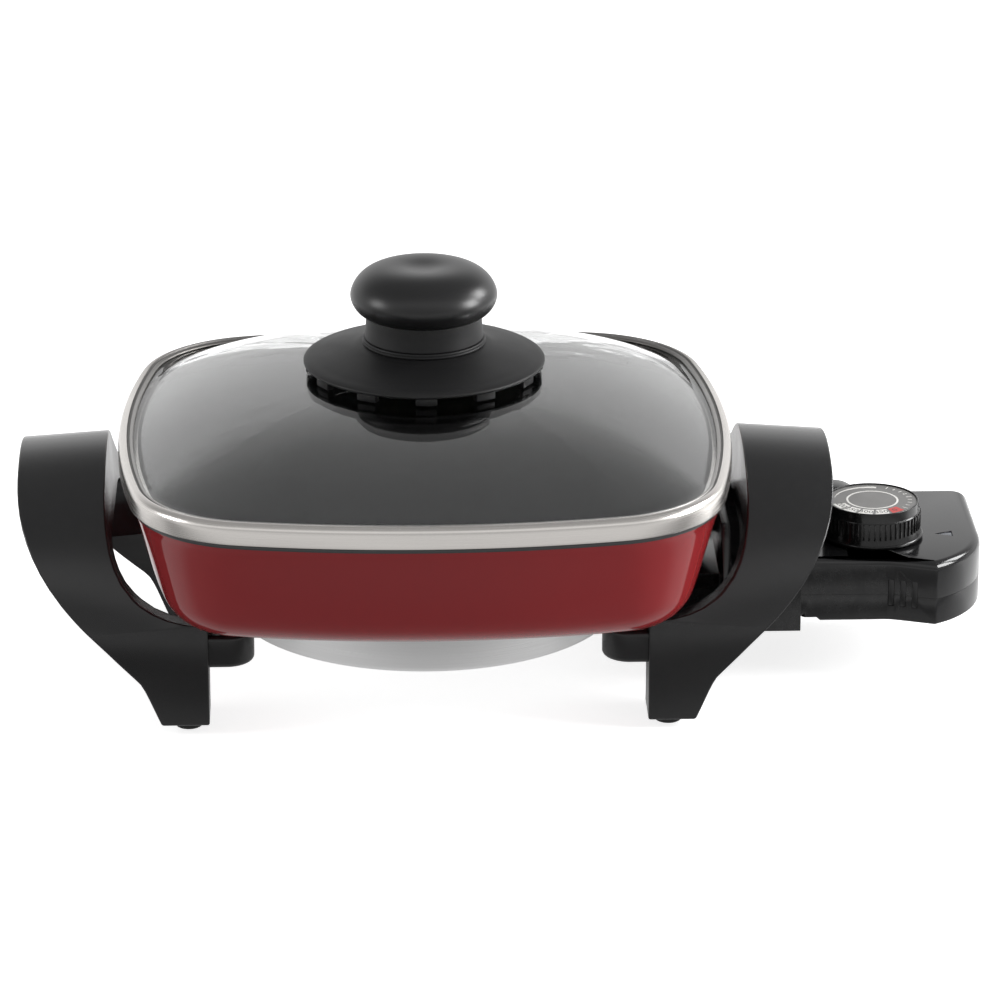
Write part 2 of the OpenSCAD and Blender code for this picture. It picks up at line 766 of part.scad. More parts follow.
// Ceramic spacers that hold the two spring blades apart
module blade_stack() {
    color([0.90, 0.88, 0.84]) in_frame() {
        block([143, 150], [10.4, 12.4 - gap], [30, 40]);
        block([143, 150], [12.8 + gap, 15 - gap], [30, 40]);
        block([143, 150], [15.4 + gap, 17.4], [30, 40]);
    }
}

module contact_blades() {
    color([0.78, 0.60, 0.34]) in_frame() {
        block([142.4, 171], [12.4, 12.8], [32, 38]);
        block([142.4, 168], [15, 15.4], [32, 38]);
    }
}

module contact_points() {
    color([0.82, 0.82, 0.82]) in_frame() {
        along_y([165, 12.8 + gap, 35], 1.6, 1);
        along_y([165, 14.05, 35], 1.6, 1 - gap - 0.05);
    }
}

module bus_strips() {
    color([0.78, 0.60, 0.34]) in_frame() {
        block([132 + gap, 142], [13, 14.9], [38.8, 39.6]);
        block([132 + gap, 133], [13, 14.9], [35, 39.6]);
        block([141.6 + gap, 142.4 - gap], [13, 15.4], [36, 39.6]);
        block([132 + gap, 146], [-15, -13], [38.8, 39.6]);
        block([132 + gap, 133], [-15, -13], [35, 39.6]);
    }
}

// The lens is a triangle that points at the dial
function lens_plan(w) = [[lens_x - 3.2 - 2 * w, 0], [lens_x + 3 + w, -2.6 - 1.4 * w],
                         [lens_x + 3 + w, 2.6 + 1.4 * w]];

module pilot_lens() {
    color([0.12, 0.13, 0.14]) in_frame() translate([0, 0, control_top_z - 2.6]) linear_extrude(2.4)
        polygon(lens_plan(0));
}

module pilot_lamp() {
    color([0.90, 0.70, 0.55]) in_frame() {
        along_x([179, 0, 40], 2.4, 8);
        translate([187, 0, 40]) sphere(r = 2.4);
    }
}

module cord_inlet() {
    y0 = control_rear_y - 8;
    color([0.09, 0.09, 0.09]) in_frame() difference() {
        union() {
            along_y([inlet_x, y0 - 3, inlet_z], inlet_body_r, 14);
            along_y([inlet_x, control_rear_y + 2 + gap, inlet_z], 8.4, 2.4);
        }
        along_y([inlet_x, y0 - 6, inlet_z], inlet_bore_r, 24);
    }
}

module dial_bush() {
    color([0.78, 0.66, 0.38]) in_frame() translate([dial_x, 0, 0]) difference() {
        union() {
            upright(0, 0, 39, 4.9, control_top_z - 39.1);
            upright(0, 0, control_top_z - control_t - 2.4, 8, 2.4 - gap);
        }
        upright(0, 0, 38, shaft_r + gap, 12);
    }
}

// ---- Dial ----

// A round grip with a groove between its ribs
function ribbed(r, depth, ribs) = [for (i = [0:ribs - 1]) each let (step = 360 / ribs) [
    for (k = [[0.1, 0], [0.6, 0], [0.72, 1], [0.98, 1]])
        let (a = step * (i + k.x)) (r - depth * k.y) * [cos(a), sin(a)]]];

module dial_knob() {
    grip_z = dial_foot_z + 2;
    band_z = dial_foot_z + 8.6;
    color([0.05, 0.05, 0.055]) in_frame() translate([dial_x, 0, 0]) difference() {
        union() {
            upright(0, 0, dial_foot_z, dial_r + 1.4, grip_z - dial_foot_z);
            translate([0, 0, grip_z - eps]) linear_extrude(band_z - grip_z + 2 * eps)
                polygon(ribbed(dial_r, 0.6, 54));
            upright(0, 0, band_z, dial_r - 0.4, dial_top_z - band_z);
        }
        translate([0, 0, dial_foot_z - 1]) tube(14, 5.6, 10);
        upright(0, 0, dial_foot_z - 1, shaft_r + gap, 9.5);
        upright(0, 0, dial_top_z - 0.7, dial_r - 1.5, 2);
    }
}

module dial_plate() {
    color([0.55, 0.55, 0.56]) in_frame()
        upright(dial_x, 0, dial_top_z - 0.7 + gap, dial_r - 1.5 - gap, 0.5);
}

module dial_shaft() {
    color([0.75, 0.75, 0.74]) in_frame()
        upright(dial_x, 0, shaft_z, shaft_r, dial_foot_z + 8.3 - shaft_z);
}

module dial_cam() {
    color([0.86, 0.84, 0.78]) in_frame() translate([dial_x, 0, cam_z]) difference() {
        translate([1.6, 0, 0]) cylinder(r = 7, h = 4);
        translate([0, 0, -1]) cylinder(r = shaft_r + gap, h = 6);
    }
}

pan();
heater_plate();
heating_element();
terminal_pins();
terminal_insulators();
probe_well();
base_cover();
cover_stud();
cover_nut();
pan_standoffs();
left_handle();
right_handle();
handle_screws();
handle_washers();
foot_front_left();
foot_front_right();
foot_rear_left();
foot_rear_right();
socket_guard();
lid_glass();
lid_rim();
knob_skirt();
knob_collar();
knob_cap();
knob_insert();
knob_seal();
knob_backing();
knob_screw();
control_top();
control_base();
control_screws();
terminal_block();
contact_sleeves();
probe_rod();
thermostat_frame();
blade_stack();
contact_blades();
contact_points();
bus_strips();
pilot_lens();
pilot_lamp();
cord_inlet();
dial_bush();
dial_knob();
dial_plate();
dial_shaft();
dial_cam();
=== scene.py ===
"""An electric skillet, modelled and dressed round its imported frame.

The frame gives every part its size and place. This script puts finely made pieces where the
frame's plain parts show, gives every other part its finish, and sets up a small studio of
a pale floor, soft lights and a camera. Sizes are millimetres from the point on the table
under the middle of the pan, and a Bench turns them into the frame's metres.
"""

from __future__ import annotations

import json
import logging
import math
from contextlib import contextmanager
from dataclasses import dataclass
from enum import Enum
from typing import Any, Callable, Iterator, Sequence

import bmesh
import bpy
from mathutils import Matrix, Vector

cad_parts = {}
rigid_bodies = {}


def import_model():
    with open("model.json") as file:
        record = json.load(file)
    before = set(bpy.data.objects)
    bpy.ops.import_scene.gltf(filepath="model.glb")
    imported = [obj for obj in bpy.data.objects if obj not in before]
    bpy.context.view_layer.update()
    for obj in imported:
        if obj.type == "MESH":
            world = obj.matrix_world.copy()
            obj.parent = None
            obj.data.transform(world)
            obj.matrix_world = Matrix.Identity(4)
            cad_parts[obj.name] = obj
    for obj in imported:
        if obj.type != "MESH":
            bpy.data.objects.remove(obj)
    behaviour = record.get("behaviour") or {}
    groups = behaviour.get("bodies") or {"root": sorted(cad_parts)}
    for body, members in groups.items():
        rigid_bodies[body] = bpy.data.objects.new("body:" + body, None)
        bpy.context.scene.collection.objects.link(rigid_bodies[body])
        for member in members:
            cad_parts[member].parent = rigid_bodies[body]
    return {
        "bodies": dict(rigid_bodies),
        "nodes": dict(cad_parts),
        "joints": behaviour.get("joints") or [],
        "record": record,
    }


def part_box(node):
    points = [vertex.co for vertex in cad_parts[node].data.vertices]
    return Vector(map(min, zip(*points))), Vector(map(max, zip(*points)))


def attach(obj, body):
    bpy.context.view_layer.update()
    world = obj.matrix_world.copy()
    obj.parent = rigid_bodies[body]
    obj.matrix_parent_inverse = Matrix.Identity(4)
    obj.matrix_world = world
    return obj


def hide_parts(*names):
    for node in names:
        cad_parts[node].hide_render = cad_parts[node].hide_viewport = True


LOG = logging.getLogger("skillet")
MM = 0.001
WELD = 1e-6

Piece = bpy.types.Object
Material = bpy.types.Material
Colour = tuple[float, float, float]
Point = tuple[float, float]
Span = tuple[float, float]


class Body(Enum):
    """The parts of the skillet that move as one."""

    SKILLET = "skillet"
    LID = "lid"
    CONTROL = "control"
    DIAL = "dial"


class Join(Enum):
    """What one solid does to another."""

    ADD = "UNION"
    CUT = "DIFFERENCE"


class Pick(Enum):
    """The kind of element that an edit works on."""

    VERTS = "VERT"
    EDGES = "EDGE"
    FACES = "FACE"


# ---------------------------------------------------------------- lines and curves


def arc(centre: Point, radius: float, start: float, end: float, steps: int) -> list[Point]:
    """Points along a circular arc.

    Args:
        centre: Middle of the circle.
        radius: Radius of the circle.
        start: Angle of the first point, in degrees.
        end: Angle of the last point, in degrees.
        steps: Number of pieces the arc is cut into.

    Returns:
        The arc's points, both ends included.
    """
    turns = [math.radians(start + (end - start) * i / steps) for i in range(steps + 1)]
    return [(centre[0] + radius * math.cos(a), centre[1] + radius * math.sin(a)) for a in turns]


def bezier(p0: Point, p1: Point, p2: Point, p3: Point, steps: int) -> list[Point]:
    """Points along a cubic curve.

    Args:
        p0: First point.
        p1: Handle of the first point.
        p2: Handle of the last point.
        p3: Last point.
        steps: Number of pieces the curve is cut into.

    Returns:
        The curve's points, both ends included.
    """
    points = []
    for i in range(steps + 1):
        t = i / steps
        u = 1 - t
        shares = (u * u * u, 3 * u * u * t, 3 * u * t * t, t * t * t)
        x = sum(s * p[0] for s, p in zip(shares, (p0, p1, p2, p3)))
        y = sum(s * p[1] for s, p in zip(shares, (p0, p1, p2, p3)))
        points.append((x, y))
    return points


def across(line: Sequence[Point], height: float) -> float:
    """Where a rising line of (across, height) points stands at a height.

    Args:
        line: Points in order of height.
        height: The height asked for; past the line's ends, the end's place holds.

    Returns:
        The place across.
    """
    if height <= line[0][1]:
        return line[0][0]
    for (x0, z0), (x1, z1) in zip(line, line[1:]):
        if height <= z1:
            return x0 + (x1 - x0) * (height - z0) / max(z1 - z0, WELD)
    return line[-1][0]


# ---------------------------------------------------------------- shaping by hand


def activate(piece: Piece) -> None:
    """Makes a piece the only selected object and the active one."""
    bpy.ops.object.select_all(action="DESELECT")
    piece.select_set(True)
    bpy.context.view_layer.objects.active = piece


@contextmanager
def editing(piece: Piece) -> Iterator[None]:
    """Holds a piece in edit mode, with nothing on it selected at first."""
    activate(piece)
    bpy.ops.object.mode_set(mode="EDIT")
    bpy.ops.mesh.select_all(action="DESELECT")
    yield
    bpy.ops.object.mode_set(mode="OBJECT")


def pick(piece: Piece, kind: Pick, test: Callable[[Any], bool]) -> None:
    """Selects, on a piece in edit mode, the elements that pass a test, and only those."""
    bpy.ops.mesh.select_mode(type=kind.value)
    bpy.ops.mesh.select_all(action="DESELECT")
    mesh = bmesh.from_edit_mesh(piece.data)
    groups = {Pick.VERTS: mesh.verts, Pick.EDGES: mesh.edges, Pick.FACES: mesh.faces}
    for element in groups[kind]:
        if test(element):
            element.select_set(True)
    mesh.select_flush_mode()
    bmesh.update_edit_mesh(piece.data)


def apply_modifier(piece: Piece, kind: str, **settings: Any) -> None:
    """Puts a modifier on a piece and applies it.

    Args:
        piece: The piece.
        kind: The modifier's kind, as Blender names it.
        **settings: The modifier's own settings.
    """
    modifier = piece.modifiers.new(kind.title(), kind)
    for name, value in settings.items():
        setattr(modifier, name, value)
    activate(piece)
    bpy.ops.object.modifier_apply(modifier=modifier.name)


def combine(piece: Piece, tool: Piece, how: Join) -> None:
    """Adds another solid to a piece or cuts the piece with it; the other solid is used up."""
    apply_modifier(piece, "BOOLEAN", object=tool, operation=how.value, solver="EXACT")
    bpy.data.objects.remove(tool)


def gather(piece: Piece, others: Sequence[Piece]) -> None:
    """Makes the others part of a piece's mesh, as they stand."""
    activate(piece)
    for other in others:
        other.select_set(True)
    bpy.ops.object.join()


def bevel(piece: Piece, width: float, segments: int = 3, angle: float = 35.0) -> None:
    """Rounds every edge of a piece that is sharper than an angle.

    Args:
        piece: The piece.
        width: Width of the rounding, in millimetres.
        segments: Number of faces across the rounding.
        angle: Least angle between two faces that is rounded, in degrees.
    """
    apply_modifier(
        piece, "BEVEL", width=width * MM, segments=segments, limit_method="ANGLE",
        angle_limit=math.radians(angle), miter_outer="MITER_ARC",
    )


def subdivide(piece: Piece, levels: int = 1) -> None:
    """Smooths a piece by subdivision."""
    apply_modifier(piece, "SUBSURF", levels=levels, render_levels=levels)


def shade(piece: Piece, angle: float = 32.0) -> None:
    """Shades a piece smoothly, apart from edges sharper than an angle in degrees."""
    activate(piece)
    bpy.ops.object.shade_smooth_by_angle(angle=math.radians(angle))


def face_outwards(piece: Piece) -> None:
    """Turns every face of a closed piece outwards."""
    with editing(piece):
        bpy.ops.mesh.select_all(action="SELECT")
        bpy.ops.mesh.normals_make_consistent(inside=False)


def settle(piece: Piece) -> Piece:
    """Moves a piece's place, turn and scale into its mesh."""
    activate(piece)
    bpy.ops.object.transform_apply(location=True, rotation=True, scale=True)
    return piece


class Bench:
    """Where pieces are made. Its sizes are millimetres from under the pan's middle."""

    def __init__(self) -> None:
        """Loads the frame and finds the pan's middle in it."""
        self.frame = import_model()
        low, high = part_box("pan")
        self.origin = Vector(((low.x + high.x) / 2, (low.y + high.y) / 2, 0.0))

    def spot(self, x: float, y: float, z: float) -> Vector:
        """The frame's place of a point given in millimetres."""
        return self.origin + Vector((x, y, z)) * MM

    def named(self, name: str) -> Piece:
        """Names the object just added, and its mesh."""
        piece = bpy.context.active_object
        piece.name = name
        piece.data.name = name
        return piece

    def block(self, name: str, x: Span, y: Span, z: Span) -> Piece:
        """A block between two limits each way."""
        centre = [(a + b) / 2 for a, b in (x, y, z)]
        size = [(b - a) * MM for a, b in (x, y, z)]
        bpy.ops.object.select_all(action="DESELECT")
        bpy.ops.mesh.primitive_cube_add(size=1, location=self.spot(*centre), scale=size)
        return settle(self.named(name))

    def drum(self, name: str, base: Sequence[float], radius: float, length: float,
             lie: Sequence[float] = (0, 0, 0), sides: int = 64) -> Piece:
        """A round bar.

        Args:
            name: The piece's name.
            base: Middle of the bar.
            radius: Its radius.
            length: Its length.
            lie: Its turn about X, Y and Z in degrees; unturned, it stands upright.
            sides: Number of its sides.

        Returns:
            The bar.
        """
        bpy.ops.object.select_all(action="DESELECT")
        bpy.ops.mesh.primitive_cylinder_add(
            vertices=sides, radius=radius * MM, depth=length * MM, location=self.spot(*base),
            rotation=[math.radians(a) for a in lie],
        )
        return settle(self.named(name))

    def prism(self, name: str, outline: Sequence[Point], z: Span) -> Piece:
        """A flat outline, raised between two heights.

        Args:
            name: The piece's name.
            outline: Points round the outline.
            z: Heights of its underside and its top.

        Returns:
            The closed solid.
        """
        bpy.ops.object.select_all(action="DESELECT")
        bpy.ops.mesh.primitive_circle_add(vertices=len(outline), radius=1, fill_type="NGON")
        piece = self.named(name)
        for vertex, (x, y) in zip(piece.data.vertices, outline):
            vertex.co = self.spot(x, y, z[0])
        with editing(piece):
            bpy.ops.mesh.select_all(action="SELECT")
            bpy.ops.mesh.extrude_region_move(
                TRANSFORM_OT_translate={"value": (0, 0, (z[1] - z[0]) * MM)})
        face_outwards(piece)
        return piece

    def lathe(self, name: str, profile: Sequence[Point], middle: Point = (0, 0),
              steps: int = 96) -> Piece:
        """A round piece, spun from its profile.

        Args:
            name: The piece's name.
            profile: Points (radius, height), either closed in a loop by its last point
                being its first, or with both ends on the axis.
            middle: Where the upright axis stands.
            steps: Number of steps round.

        Returns:
            The closed solid.
        """
        bpy.ops.object.select_all(action="DESELECT")
        bpy.ops.mesh.primitive_plane_add(size=MM)
        piece = self.named(name)
        axis = self.spot(middle[0], middle[1], 0)
        places = [axis + Vector((r, 0, z)) * MM for r, z in profile]
        with editing(piece):
            bpy.ops.mesh.select_mode(type="VERT")
            bpy.ops.mesh.select_all(action="SELECT")
            bpy.ops.mesh.merge(type="CENTER")
            bpy.ops.transform.translate(value=places[0])
            for here, there in zip(places, places[1:]):
                bpy.ops.mesh.extrude_region_move(TRANSFORM_OT_translate={"value": there - here})
            bpy.ops.mesh.select_all(action="SELECT")
            bpy.ops.mesh.spin(steps=steps, angle=math.tau, center=axis, axis=(0, 0, 1))
            bpy.ops.mesh.select_all(action="SELECT")
            bpy.ops.mesh.remove_doubles(threshold=WELD)
            bpy.ops.mesh.normals_make_consistent(inside=False)
        return piece

    def copy_of(self, node: str, name: str) -> Piece:
        """A copy of a frame part with its loose triangles merged into a clean skin.

        Args:
            node: The frame part.
            name: The copy's name.

        Returns:
            The copy, made of quads where its triangles pair up.
        """
        mesh = self.frame["nodes"][node].data.copy()
        piece = bpy.data.objects.new(name, mesh)
        mesh.name = name
        mesh.materials.clear()
        bpy.context.scene.collection.objects.link(piece)
        activate(piece)
        bpy.ops.mesh.customdata_custom_splitnormals_clear()
        with editing(piece):
            bpy.ops.mesh.select_all(action="SELECT")
            bpy.ops.mesh.remove_doubles(threshold=WELD)
            bpy.ops.mesh.tris_convert_to_quads(
                face_threshold=math.radians(40), shape_threshold=math.radians(60))
        return piece

    def place(self, piece: Piece, body: Body, slot: str, *nodes: str) -> Piece:
        """Makes a finished piece part of the skillet.

        Args:
            piece: The piece.
            body: The body that it moves with.
            slot: Not used.
            *nodes: The frame parts that it stands for.

        Returns:
            The piece.
        """
        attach(piece, body.value)
        if nodes:
            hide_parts(*nodes)
        LOG.info("%s: %d faces, on %s", piece.name, len(piece.data.polygons), body.value)
        return piece


# ---------------------------------------------------------------- effects and finishes


class Socket(Enum):
    """Kinds of value that a shader group takes or gives."""

    NUMBER = "NodeSocketFloat"
    COLOUR = "NodeSocketColor"
    VECTOR = "NodeSocketVector"


class Nodes:
    """A node tree under construction."""

    def __init__(self, tree: bpy.types.NodeTree) -> None:
        """Takes over a node tree."""
        self.tree = tree

    def add(self, kind: str, inputs: dict[str, Any] | None = None, **settings: Any) -> Any:
        """Adds a node.

        Args:
            kind: The node's type, without its ShaderNode prefix.
            inputs: For each input's name or number, a value or an output to link from.
            **settings: The node's own settings.

        Returns:
            The node.
        """
        node = self.tree.nodes.new("ShaderNode" + kind)
        for name, value in settings.items():
            setattr(node, name, value)
        self.fill(node, inputs or {})
        return node

    def fill(self, node: Any, inputs: dict[Any, Any]) -> None:
        """Gives a node's inputs a value each, or an output to link from."""
        for name, value in inputs.items():
            if isinstance(value, bpy.types.NodeSocket):
                self.tree.links.new(value, node.inputs[name])
            else:
                node.inputs[name].default_value = value

    def group(self, tree: bpy.types.NodeTree, inputs: dict[str, Any]) -> Any:
        """The outcome of a shader group."""
        return self.add("Group", inputs, node_tree=tree).outputs[0]

    def bump(self, height: Any, depth: float) -> Any:
        """A normal roughened by a height whose full depth is given in millimetres."""
        return self.add("Bump", {"Height": height, "Distance": depth * MM,
                                 "Strength": 1.0}).outputs[0]

    def ramp(self, share: Any, stops: Sequence[Point]) -> Any:
        """A grey that runs through (place from 0 to 1, level) stops."""
        node = self.add("ValToRGB", {"Fac": share})
        marks = node.color_ramp.elements
        while len(marks) < len(stops):
            marks.new(0.5)
        for mark, (position, level) in zip(marks, stops):
            mark.position = position
            mark.color = (level, level, level, 1.0)
        return node.outputs["Color"]

    def maths(self, operation: str, a: Any, b: Any = 0.0, c: Any = 0.0) -> Any:
        """The outcome of a sum on numbers or outputs."""
        return self.add("Math", {0: a, 1: b, 2: c}, operation=operation).outputs[0]

    def fit_range(self, value: Any, source: Span, target: tuple[Any, Any]) -> Any:
        """A value carried from one range to another, and held within it."""
        node = self.add("MapRange", {"Value": value, "From Min": source[0], "From Max": source[1],
                                     "To Min": target[0], "To Max": target[1]})
        return node.outputs["Result"]

    def noise(self, vector: Any, scale: Any, detail: float = 3.0, rough: float = 0.55) -> Any:
        """Cloudy noise between 0 and 1."""
        node = self.add("TexNoise", {"Vector": vector, "Scale": scale, "Detail": detail,
                                     "Roughness": rough})
        return node.outputs[0]

    def blend(self, share: Any, first: Any, second: Any) -> Any:
        """A mix of two colours."""
        return self.add("Mix", {0: share, 6: first, 7: second}, data_type="RGBA").outputs[2]


class Effects:
    """Shader groups that several finishes share. Each is built once."""

    def __init__(self) -> None:
        """Builds every group."""
        white = (Socket.COLOUR, (1, 1, 1, 1))
        marks = {"Scale": (Socket.NUMBER, 900.0)}
        self.grain = self._build("grain", marks, "Height", Socket.NUMBER, self._grain)
        self.rings = self._build("turned_rings", marks, "Height", Socket.NUMBER, self._rings)
        self.lines = self._build("drawn_lines", marks, "Height", Socket.NUMBER, self._lines)
        self.smudge = self._build(
            "smudge", {"Scale": (Socket.NUMBER, 30.0), "Least": (Socket.NUMBER, 0.2),
                       "Most": (Socket.NUMBER, 0.3)}, "Roughness", Socket.NUMBER, self._smudge)
        self.drift = self._build(
            "tone_drift", {"Scale": (Socket.NUMBER, 12.0), "Amount": (Socket.NUMBER, 0.1),
                           "Colour": white}, "Colour", Socket.COLOUR, self._drift)
        self.wear = self._build(
            "edge_wear", {"Scale": (Socket.NUMBER, 250.0), "Amount": (Socket.NUMBER, 0.5),
                          "Colour": white, "Worn": white}, "Colour", Socket.COLOUR, self._wear)

    @staticmethod
    def _build(name: str, takes: dict[str, tuple[Socket, Any]], gives: str, kind: Socket,
               work_out: Callable[[Nodes, Any], Any]) -> bpy.types.NodeTree:
        """Builds a group whose single output a function works out.

        Args:
            name: The group's name.
            takes: Kind and usual value of each input, beside the vector that all have.
            gives: The output's name.
            kind: The output's kind.
            work_out: Makes the nodes from the inputs and gives the output.

        Returns:
            The group.
        """
        tree = bpy.data.node_groups.new(name, "ShaderNodeTree")
        sockets = tree.interface
        sockets.new_socket("Vector", in_out="INPUT", socket_type=Socket.VECTOR.value)
        for title, (taken, usual) in takes.items():
            socket = sockets.new_socket(title, in_out="INPUT", socket_type=taken.value)
            socket.default_value = usual
        sockets.new_socket(gives, in_out="OUTPUT", socket_type=kind.value)
        source = tree.nodes.new("NodeGroupInput")
        result = tree.nodes.new("NodeGroupOutput")
        tree.links.new(work_out(Nodes(tree), source.outputs), result.inputs[0])
        return tree

    @staticmethod
    def _grain(nodes: Nodes, inputs: Any) -> Any:
        """The fine, soft pitting of a moulded or sprayed surface."""
        coarse = nodes.noise(inputs["Vector"], inputs["Scale"], 2.0)
        finer = nodes.maths("MULTIPLY", inputs["Scale"], 3.7)
        fine = nodes.noise(inputs["Vector"], finer, 3.0, 0.7)
        return nodes.maths("MULTIPLY_ADD", fine, 0.4, nodes.maths("MULTIPLY", coarse, 0.6))

    @staticmethod
    def _smudge(nodes: Nodes, inputs: Any) -> Any:
        """Soft patches where handling has changed the gloss."""
        cloud = nodes.noise(inputs["Vector"], inputs["Scale"], 4.0, 0.6)
        return nodes.fit_range(cloud, (0.35, 0.68), (inputs["Least"], inputs["Most"]))

    @staticmethod
    def _drift(nodes: Nodes, inputs: Any) -> Any:
        """A slow change of tone over a surface."""
        cloud = nodes.noise(inputs["Vector"], inputs["Scale"], 2.0)
        swing = nodes.maths("MULTIPLY", nodes.maths("SUBTRACT", cloud, 0.5), inputs["Amount"])
        gain = nodes.maths("MULTIPLY_ADD", swing, 2.0, 1.0)
        scaled = nodes.add("VectorMath", {0: inputs["Colour"], "Scale": gain}, operation="SCALE")
        return scaled.outputs[0]

    @staticmethod
    def _wear(nodes: Nodes, inputs: Any) -> Any:
        """Edges rubbed to another colour, here more and there less."""
        edge = nodes.fit_range(nodes.add("NewGeometry").outputs["Pointiness"], (0.515, 0.60),
                               (0.0, 1.0))
        cloud = nodes.fit_range(nodes.noise(inputs["Vector"], inputs["Scale"], 5.0, 0.7),
                                (0.40, 0.62), (0.0, 1.0))
        share = nodes.maths("MULTIPLY", nodes.maths("MULTIPLY", edge, cloud), inputs["Amount"])
        return nodes.blend(share, inputs["Colour"], inputs["Worn"])

    @staticmethod
    def _rings(nodes: Nodes, inputs: Any) -> Any:
        """Fine lines round the vector's upright axis, as a lathe leaves them."""
        parts = nodes.add("SeparateXYZ", {0: inputs["Vector"]}).outputs
        flat = nodes.add("CombineXYZ", {0: parts[0], 1: parts[1]}).outputs[0]
        radius = nodes.add("VectorMath", {0: flat}, operation="LENGTH").outputs["Value"]
        way = nodes.add("VectorMath", {0: flat}, operation="NORMALIZE").outputs[0]
        way = nodes.add("SeparateXYZ", {0: way}).outputs
        depth = nodes.maths("ADD", radius, nodes.maths("MULTIPLY", parts[2], 1.7))
        turned = nodes.add("CombineXYZ", {0: nodes.maths("MULTIPLY", way[0], 1.3),
                                          1: nodes.maths("MULTIPLY", way[1], 1.3),
                                          2: nodes.maths("MULTIPLY", depth, inputs["Scale"])})
        return nodes.noise(turned.outputs[0], 1.0, 4.0, 0.75)

    @staticmethod
    def _lines(nodes: Nodes, inputs: Any) -> Any:
        """Fine level lines, as drawing a strip through a die leaves them."""
        parts = nodes.add("SeparateXYZ", {0: inputs["Vector"]}).outputs
        drawn = nodes.add("CombineXYZ", {0: nodes.maths("MULTIPLY", parts[0], 18.0),
                                         1: nodes.maths("MULTIPLY", parts[1], 18.0),
                                         2: nodes.maths("MULTIPLY", parts[2], inputs["Scale"])})
        return nodes.noise(drawn.outputs[0], 1.0, 3.0, 0.7)


class Lay(Enum):
    """How a metal surface was worked."""

    CAST = "grain"
    TURNED = "rings"
    DRAWN = "lines"


def new_shader(name: str) -> tuple[Material, Nodes, Any, Any]:
    """Starts a material.

    Args:
        name: The material's name.

    Returns:
        The material, its nodes, its Principled shader and the object's own coordinates.
    """
    material = bpy.data.materials.new(name)
    material.use_nodes = True
    nodes = Nodes(material.node_tree)
    shader = next(n for n in material.node_tree.nodes if n.type == "BSDF_PRINCIPLED")
    place = nodes.add("TexCoord").outputs["Object"]
    return material, nodes, shader, place


def opaque(colour: Colour) -> tuple[float, float, float, float]:
    """A colour with nothing showing through it."""
    return (*colour, 1.0)


@dataclass(frozen=True)
class Solid:
    """A finish of one solid colour: plastic, enamel, rubber or ceramic."""

    name: str
    colour: Colour
    gloss: Span = (0.25, 0.35)
    smudge_scale: float = 25.0
    grain_scale: float = 900.0
    grain_depth: float = 0.01
    drift: float = 0.08
    wear: float = 0.0
    worn: Colour = (0.3, 0.3, 0.3)
    ior: float = 1.5

    def build(self, effects: Effects) -> Material:
        """Makes the finish as a material."""
        material, nodes, shader, place = new_shader(self.name)
        colour = nodes.group(effects.drift, {"Vector": place, "Amount": self.drift,
                                             "Colour": opaque(self.colour)})
        if self.wear:
            colour = nodes.group(effects.wear, {"Vector": place, "Colour": colour,
                                                "Amount": self.wear, "Worn": opaque(self.worn)})
        gloss = nodes.group(effects.smudge, {"Vector": place, "Scale": self.smudge_scale,
                                             "Least": self.gloss[0], "Most": self.gloss[1]})
        grain = nodes.group(effects.grain, {"Vector": place, "Scale": self.grain_scale})
        nodes.fill(shader, {"Base Color": colour, "Roughness": gloss, "IOR": self.ior,
                            "Normal": nodes.bump(grain, self.grain_depth)})
        return material


@dataclass(frozen=True)
class Metal:
    """A metal finish, with the marks of how it was worked, and with painted shade towards the rear
    where asked for.
    """

    name: str
    colour: Colour
    gloss: Span = (0.25, 0.35)
    lay: Lay = Lay.CAST
    mark_scale: float = 900.0
    mark_depth: float = 0.004
    tint: Colour = (0.0, 0.0, 0.0)
    tint_share: float = 0.0
    axis: Point = (0.0, 0.0)
    # share of near-black brown painted over the colour at the rear edge as painted shade, and the
    # depth span (object Y, metres) over which it grows
    rear_painted_shade: float = 0.0
    rear: Span = (0.03, 0.09)

    def build(self, effects: Effects) -> Material:
        """Makes the finish as a material."""
        material, nodes, shader, place = new_shader(self.name)
        centred = nodes.add("Mapping", {"Vector": place,
                                        "Location": (-self.axis[0], -self.axis[1], 0.0)})
        marks = nodes.group(getattr(effects, self.lay.value),
                            {"Vector": centred.outputs[0], "Scale": self.mark_scale})
        tone = nodes.group(effects.drift, {"Vector": place, "Amount": 0.06,
                                           "Colour": opaque(self.colour)})
        streak = nodes.fit_range(marks, (0.3, 0.7), (0.0, 0.18))
        colour = nodes.blend(streak, tone, opaque(tuple(0.55 * c for c in self.colour)))
        if self.tint_share:
            share = nodes.fit_range(nodes.noise(place, 40.0, 4.0), (0.45, 0.7),
                                    (0.0, self.tint_share))
            colour = nodes.blend(share, colour, opaque(self.tint))
        # Painted shade: darker towards the rear (higher object Y), for the shade on the back of the
        # lid's steel band
        if self.rear_painted_shade:
            depth = nodes.add("SeparateXYZ", {0: place}).outputs[1]
            share = nodes.fit_range(depth, self.rear, (0.0, self.rear_painted_shade))
            colour = nodes.blend(share, colour, opaque((0.03, 0.024, 0.018)))
        nodes.fill(shader, {"Base Color": colour, "Metallic": 1.0,
                            "Roughness": nodes.fit_range(marks, (0.3, 0.7), self.gloss),
                            "Normal": nodes.bump(marks, self.mark_depth)})
        return material


